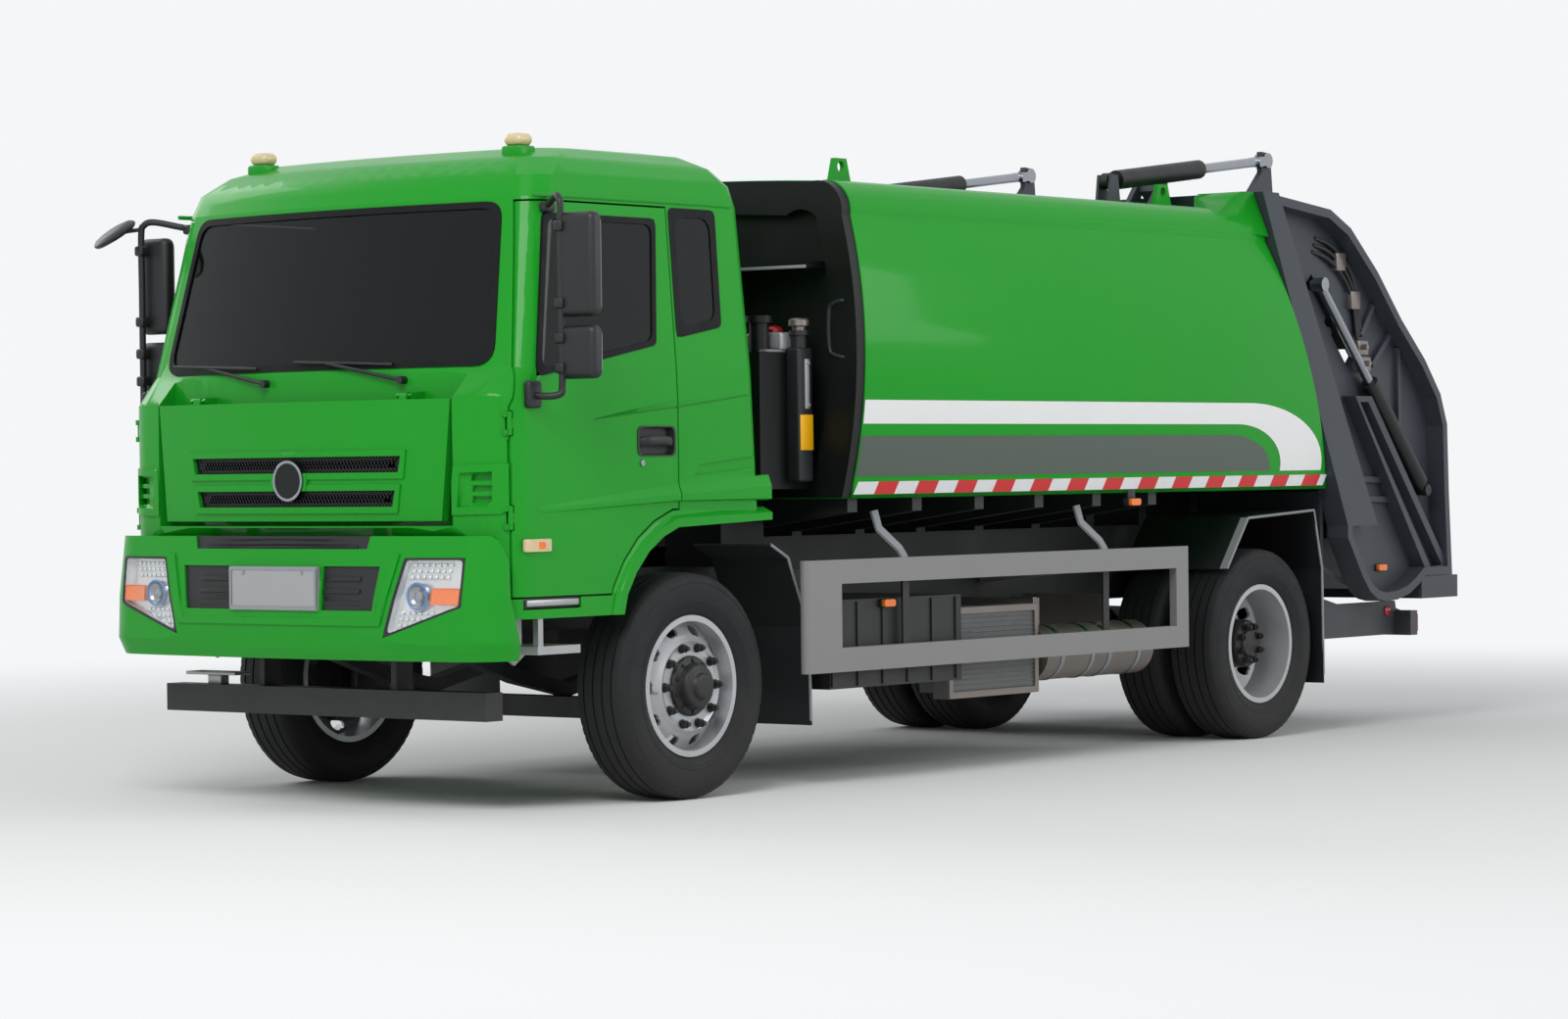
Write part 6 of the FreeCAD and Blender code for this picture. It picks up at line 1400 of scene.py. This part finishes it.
class MakeFinishes(bpy.types.Operator):
    """Make every finish and give the CAD nodes theirs"""
    bl_idname = "truck.make_finishes"
    bl_label = "Finishes"

    def execute(self, context):
        for maker in MAKERS:
            FINISHES[maker.__name__] = maker()
        for finish_name, nodes in NODE_FINISHES.items():
            for slot in [slot for node in nodes for slot in NODES[node].material_slots]:
                slot.material = material(finish_name)
        for node, (finish_name, body) in SKINS.items():
            reskin(node, finish_name, body, CREASES.get(node, PANEL_CREASE))
        return {"FINISHED"}


class MakeWheels(bpy.types.Operator):
    """Tyres with tread, wheel nuts, hubs and valves"""
    bl_idname = "truck.make_wheels"
    bl_label = "Wheels"

    def execute(self, context):
        add_wheels()
        return {"FINISHED"}


class MakeFilms(bpy.types.Operator):
    """Stripe, band and reflective tape on the refuse body"""
    bl_idname = "truck.make_films"
    bl_label = "Films"

    def execute(self, context):
        add_films()
        add_tape()
        return {"FINISHED"}


class MakeFront(bpy.types.Operator):
    """Headlamps, mesh, disc ring, slats and plate of the front"""
    bl_idname = "truck.make_front"
    bl_label = "Front"

    def execute(self, context):
        add_headlamps()
        add_front()
        add_insert_slats()
        return {"FINISHED"}


class MakeCabTrim(bpy.types.Operator):
    """Seals, handles, lamps, gutters, mirrors and steering wheel of the cab"""
    bl_idname = "truck.make_cab_trim"
    bl_label = "Cab trim"

    def execute(self, context):
        add_glass()
        add_door_fittings()
        add_side_lamps()
        add_roof_lamps()
        add_mirrors()
        add_wheel_and_column()
        return {"FINISHED"}


class MakeFittings(bpy.types.Operator):
    """Markers, bulkhead gear, radiator, tailgate lines, edging and lenses"""
    bl_idname = "truck.make_fittings"
    bl_label = "Fittings"

    def execute(self, context):
        add_markers()
        add_grab_loop()
        add_oil_column()
        add_signal_box()
        add_bulkhead_strip()
        add_radiator()
        add_tank_straps()
        add_guard_stays()
        add_gate_lines()
        add_hood_edges()
        add_underrun_step()
        add_tail_lenses()
        return {"FINISHED"}


# Stage: floor, lamps and the camera that saw the photograph.
CAMERA_AT = (16.1125, 12.4155, 1.3915)
CAMERA_LOOKS = (-0.77719, -0.62880, -0.02402)
CAMERA_ROLL = -0.0118
LENS = 96.62
SENSOR = 36.0
SHIFT = (0.0279, 0.0385)
BACKDROP = "#F4F6F8"
FLOOR = "#F0F0F0"
FLOOR_REACH = 60.0
FADE_START, FADE_END = 5.0, 13.0
WORLD_STRENGTH = 0.46
# Name, place, target, width and power of each lamp.
LAMPS = (("key_lamp", (12, 5, 10), (1, 0, 1), 6.0, 900), ("side_lamp", (-4, 12, 6), (-1, 0, 1.2), 7.0, 430),
         ("far_lamp", (2, -12, 8), (0, 0, 1), 7.0, 420))


def make_camera(scene):
    """The camera that saw the photograph: its frame is worked out from where it looks and how it rolls."""
    data = bpy.data.cameras.new("camera")
    data.lens = LENS
    data.sensor_width = SENSOR
    data.shift_x, data.shift_y = SHIFT
    data.clip_end = 200.0
    camera = bpy.data.objects.new("camera", data)
    looks = Vector(CAMERA_LOOKS).normalized()
    right = looks.cross(Vector((0, 0, 1))).normalized()
    up = right.cross(looks)
    across = right * math.cos(CAMERA_ROLL) + up * math.sin(CAMERA_ROLL)
    upward = up * math.cos(CAMERA_ROLL) - right * math.sin(CAMERA_ROLL)
    camera.matrix_world = Matrix((
        (across.x, upward.x, -looks.x, CAMERA_AT[0]), (across.y, upward.y, -looks.y, CAMERA_AT[1]),
        (across.z, upward.z, -looks.z, CAMERA_AT[2]), (0, 0, 0, 1)))
    scene.collection.objects.link(camera)
    scene.camera = camera
    scene.view_settings.view_transform = "Standard"


def sees_background(tree):
    """1 for the rays that see the background: from the camera, off gloss and through glass."""
    path = add(tree, "ShaderNodeLightPath")
    seen = path.outputs["Is Camera Ray"]
    for name in ("Is Glossy Ray", "Is Transmission Ray"):
        seen = add(tree, "ShaderNodeMath", {0: seen, 1: path.outputs[name]}, operation="MAXIMUM").outputs[0]
    return seen


def make_floor(scene):
    """Matt pale studio floor that keeps the truck's shadow and fades into the backdrop further out."""
    floor_material = bpy.data.materials.new("studio_floor")
    floor_material.use_nodes = True
    tree = floor_material.node_tree
    shader = tree.nodes["Principled BSDF"]
    for key, value in (("Base Color", shade(FLOOR)), ("Roughness", 0.9), ("Specular IOR Level", 0.1)):
        shader.inputs[key].default_value = value
    place = add(tree, "ShaderNodeTexCoord").outputs["Object"]
    distance = add(tree, "ShaderNodeVectorMath", {0: place}, operation="LENGTH")
    limits = {"Value": distance.outputs["Value"], "From Min": FADE_START, "From Max": FADE_END}
    fade = add(tree, "ShaderNodeMapRange", limits, interpolation_type="SMOOTHSTEP")
    share = add(tree, "ShaderNodeMath", {0: sees_background(tree), 1: fade.outputs["Result"]},
                operation="MULTIPLY")
    glow = add(tree, "ShaderNodeEmission", {"Color": shade(BACKDROP), "Strength": 1.0})
    joined = add(tree, "ShaderNodeMixShader", {"Fac": share.outputs[0], 1: shader.outputs["BSDF"],
                                               2: glow.outputs["Emission"]})
    tree.links.new(joined.outputs["Shader"], tree.nodes["Material Output"].inputs["Surface"])
    mesh = bpy.data.meshes.new("studio_floor")
    corners = [(x, y, 0) for x, y in rectangle(-FLOOR_REACH, -FLOOR_REACH, FLOOR_REACH, FLOOR_REACH)]
    mesh.from_pydata(corners, [], [(0, 1, 2, 3)])
    mesh.materials.append(floor_material)
    floor = bpy.data.objects.new("studio_floor", mesh)
    scene.collection.objects.link(floor)


def make_world(scene):
    """Pale world: white where it is seen, dimmer where it lights the truck."""
    world = bpy.data.worlds.new("studio")
    scene.world = world
    world.use_nodes = True
    tree = world.node_tree
    strength = add(tree, "ShaderNodeMapRange", {"Value": sees_background(tree), "To Min": WORLD_STRENGTH,
                                                "To Max": 1.0})
    background = tree.nodes["Background"]
    background.inputs["Color"].default_value = shade(BACKDROP)
    tree.links.new(strength.outputs["Result"], background.inputs["Strength"])


def make_lamps(scene):
    """Three wide lamps, each turned to its target."""
    for name, spot, target, width, power in LAMPS:
        lamp = bpy.data.lights.new(name, "AREA")
        lamp.size = width
        lamp.energy = power
        holder = bpy.data.objects.new(name, lamp)
        holder.location = spot
        holder.rotation_euler = (Vector(target) - Vector(spot)).to_track_quat("-Z", "Y").to_euler()
        scene.collection.objects.link(holder)


class MakeStage(bpy.types.Operator):
    """Pale floor, soft lamps and the camera"""
    bl_idname = "truck.make_stage"
    bl_label = "Stage"

    def execute(self, context):
        for part in (make_camera, make_floor, make_world, make_lamps):
            part(context.scene)
        return {"FINISHED"}


class TruckPanel(bpy.types.Panel):
    """Lists the steps, the colours and the sizes in the sidebar"""
    bl_idname = "VIEW3D_PT_truck"
    bl_label = "Garbage truck"
    bl_space_type = "VIEW_3D"
    bl_region_type = "UI"
    bl_category = "Truck"

    def draw(self, context):
        for step in STEPS:
            self.layout.operator(step.bl_idname)
        for group in (context.scene.truck_colours, context.scene.truck_sizes):
            for name in group.__annotations__:
                self.layout.prop(group, name)


STEPS = (MakeStage, MakeFinishes, MakeWheels, MakeFilms, MakeFront, MakeCabTrim, MakeFittings)
CLASSES = (TruckColours, TruckSizes, *STEPS, TruckPanel)


def register():
    """Registers the classes and gives the scene its colours and sizes."""
    for item in CLASSES:
        bpy.utils.register_class(item)
    bpy.types.Scene.truck_colours = bpy.props.PointerProperty(type=TruckColours)
    bpy.types.Scene.truck_sizes = bpy.props.PointerProperty(type=TruckSizes)


def unregister():
    """Takes back what register did, in the opposite order."""
    del bpy.types.Scene.truck_sizes
    del bpy.types.Scene.truck_colours
    for item in reversed(CLASSES):
        bpy.utils.unregister_class(item)


def main():
    register()
    for step in STEPS:
        group, name = step.bl_idname.split(".")
        if getattr(getattr(bpy.ops, group), name)() != {"FINISHED"}:
            raise RuntimeError(step.bl_label + " did not finish")


if __name__ == "__main__":
    main()
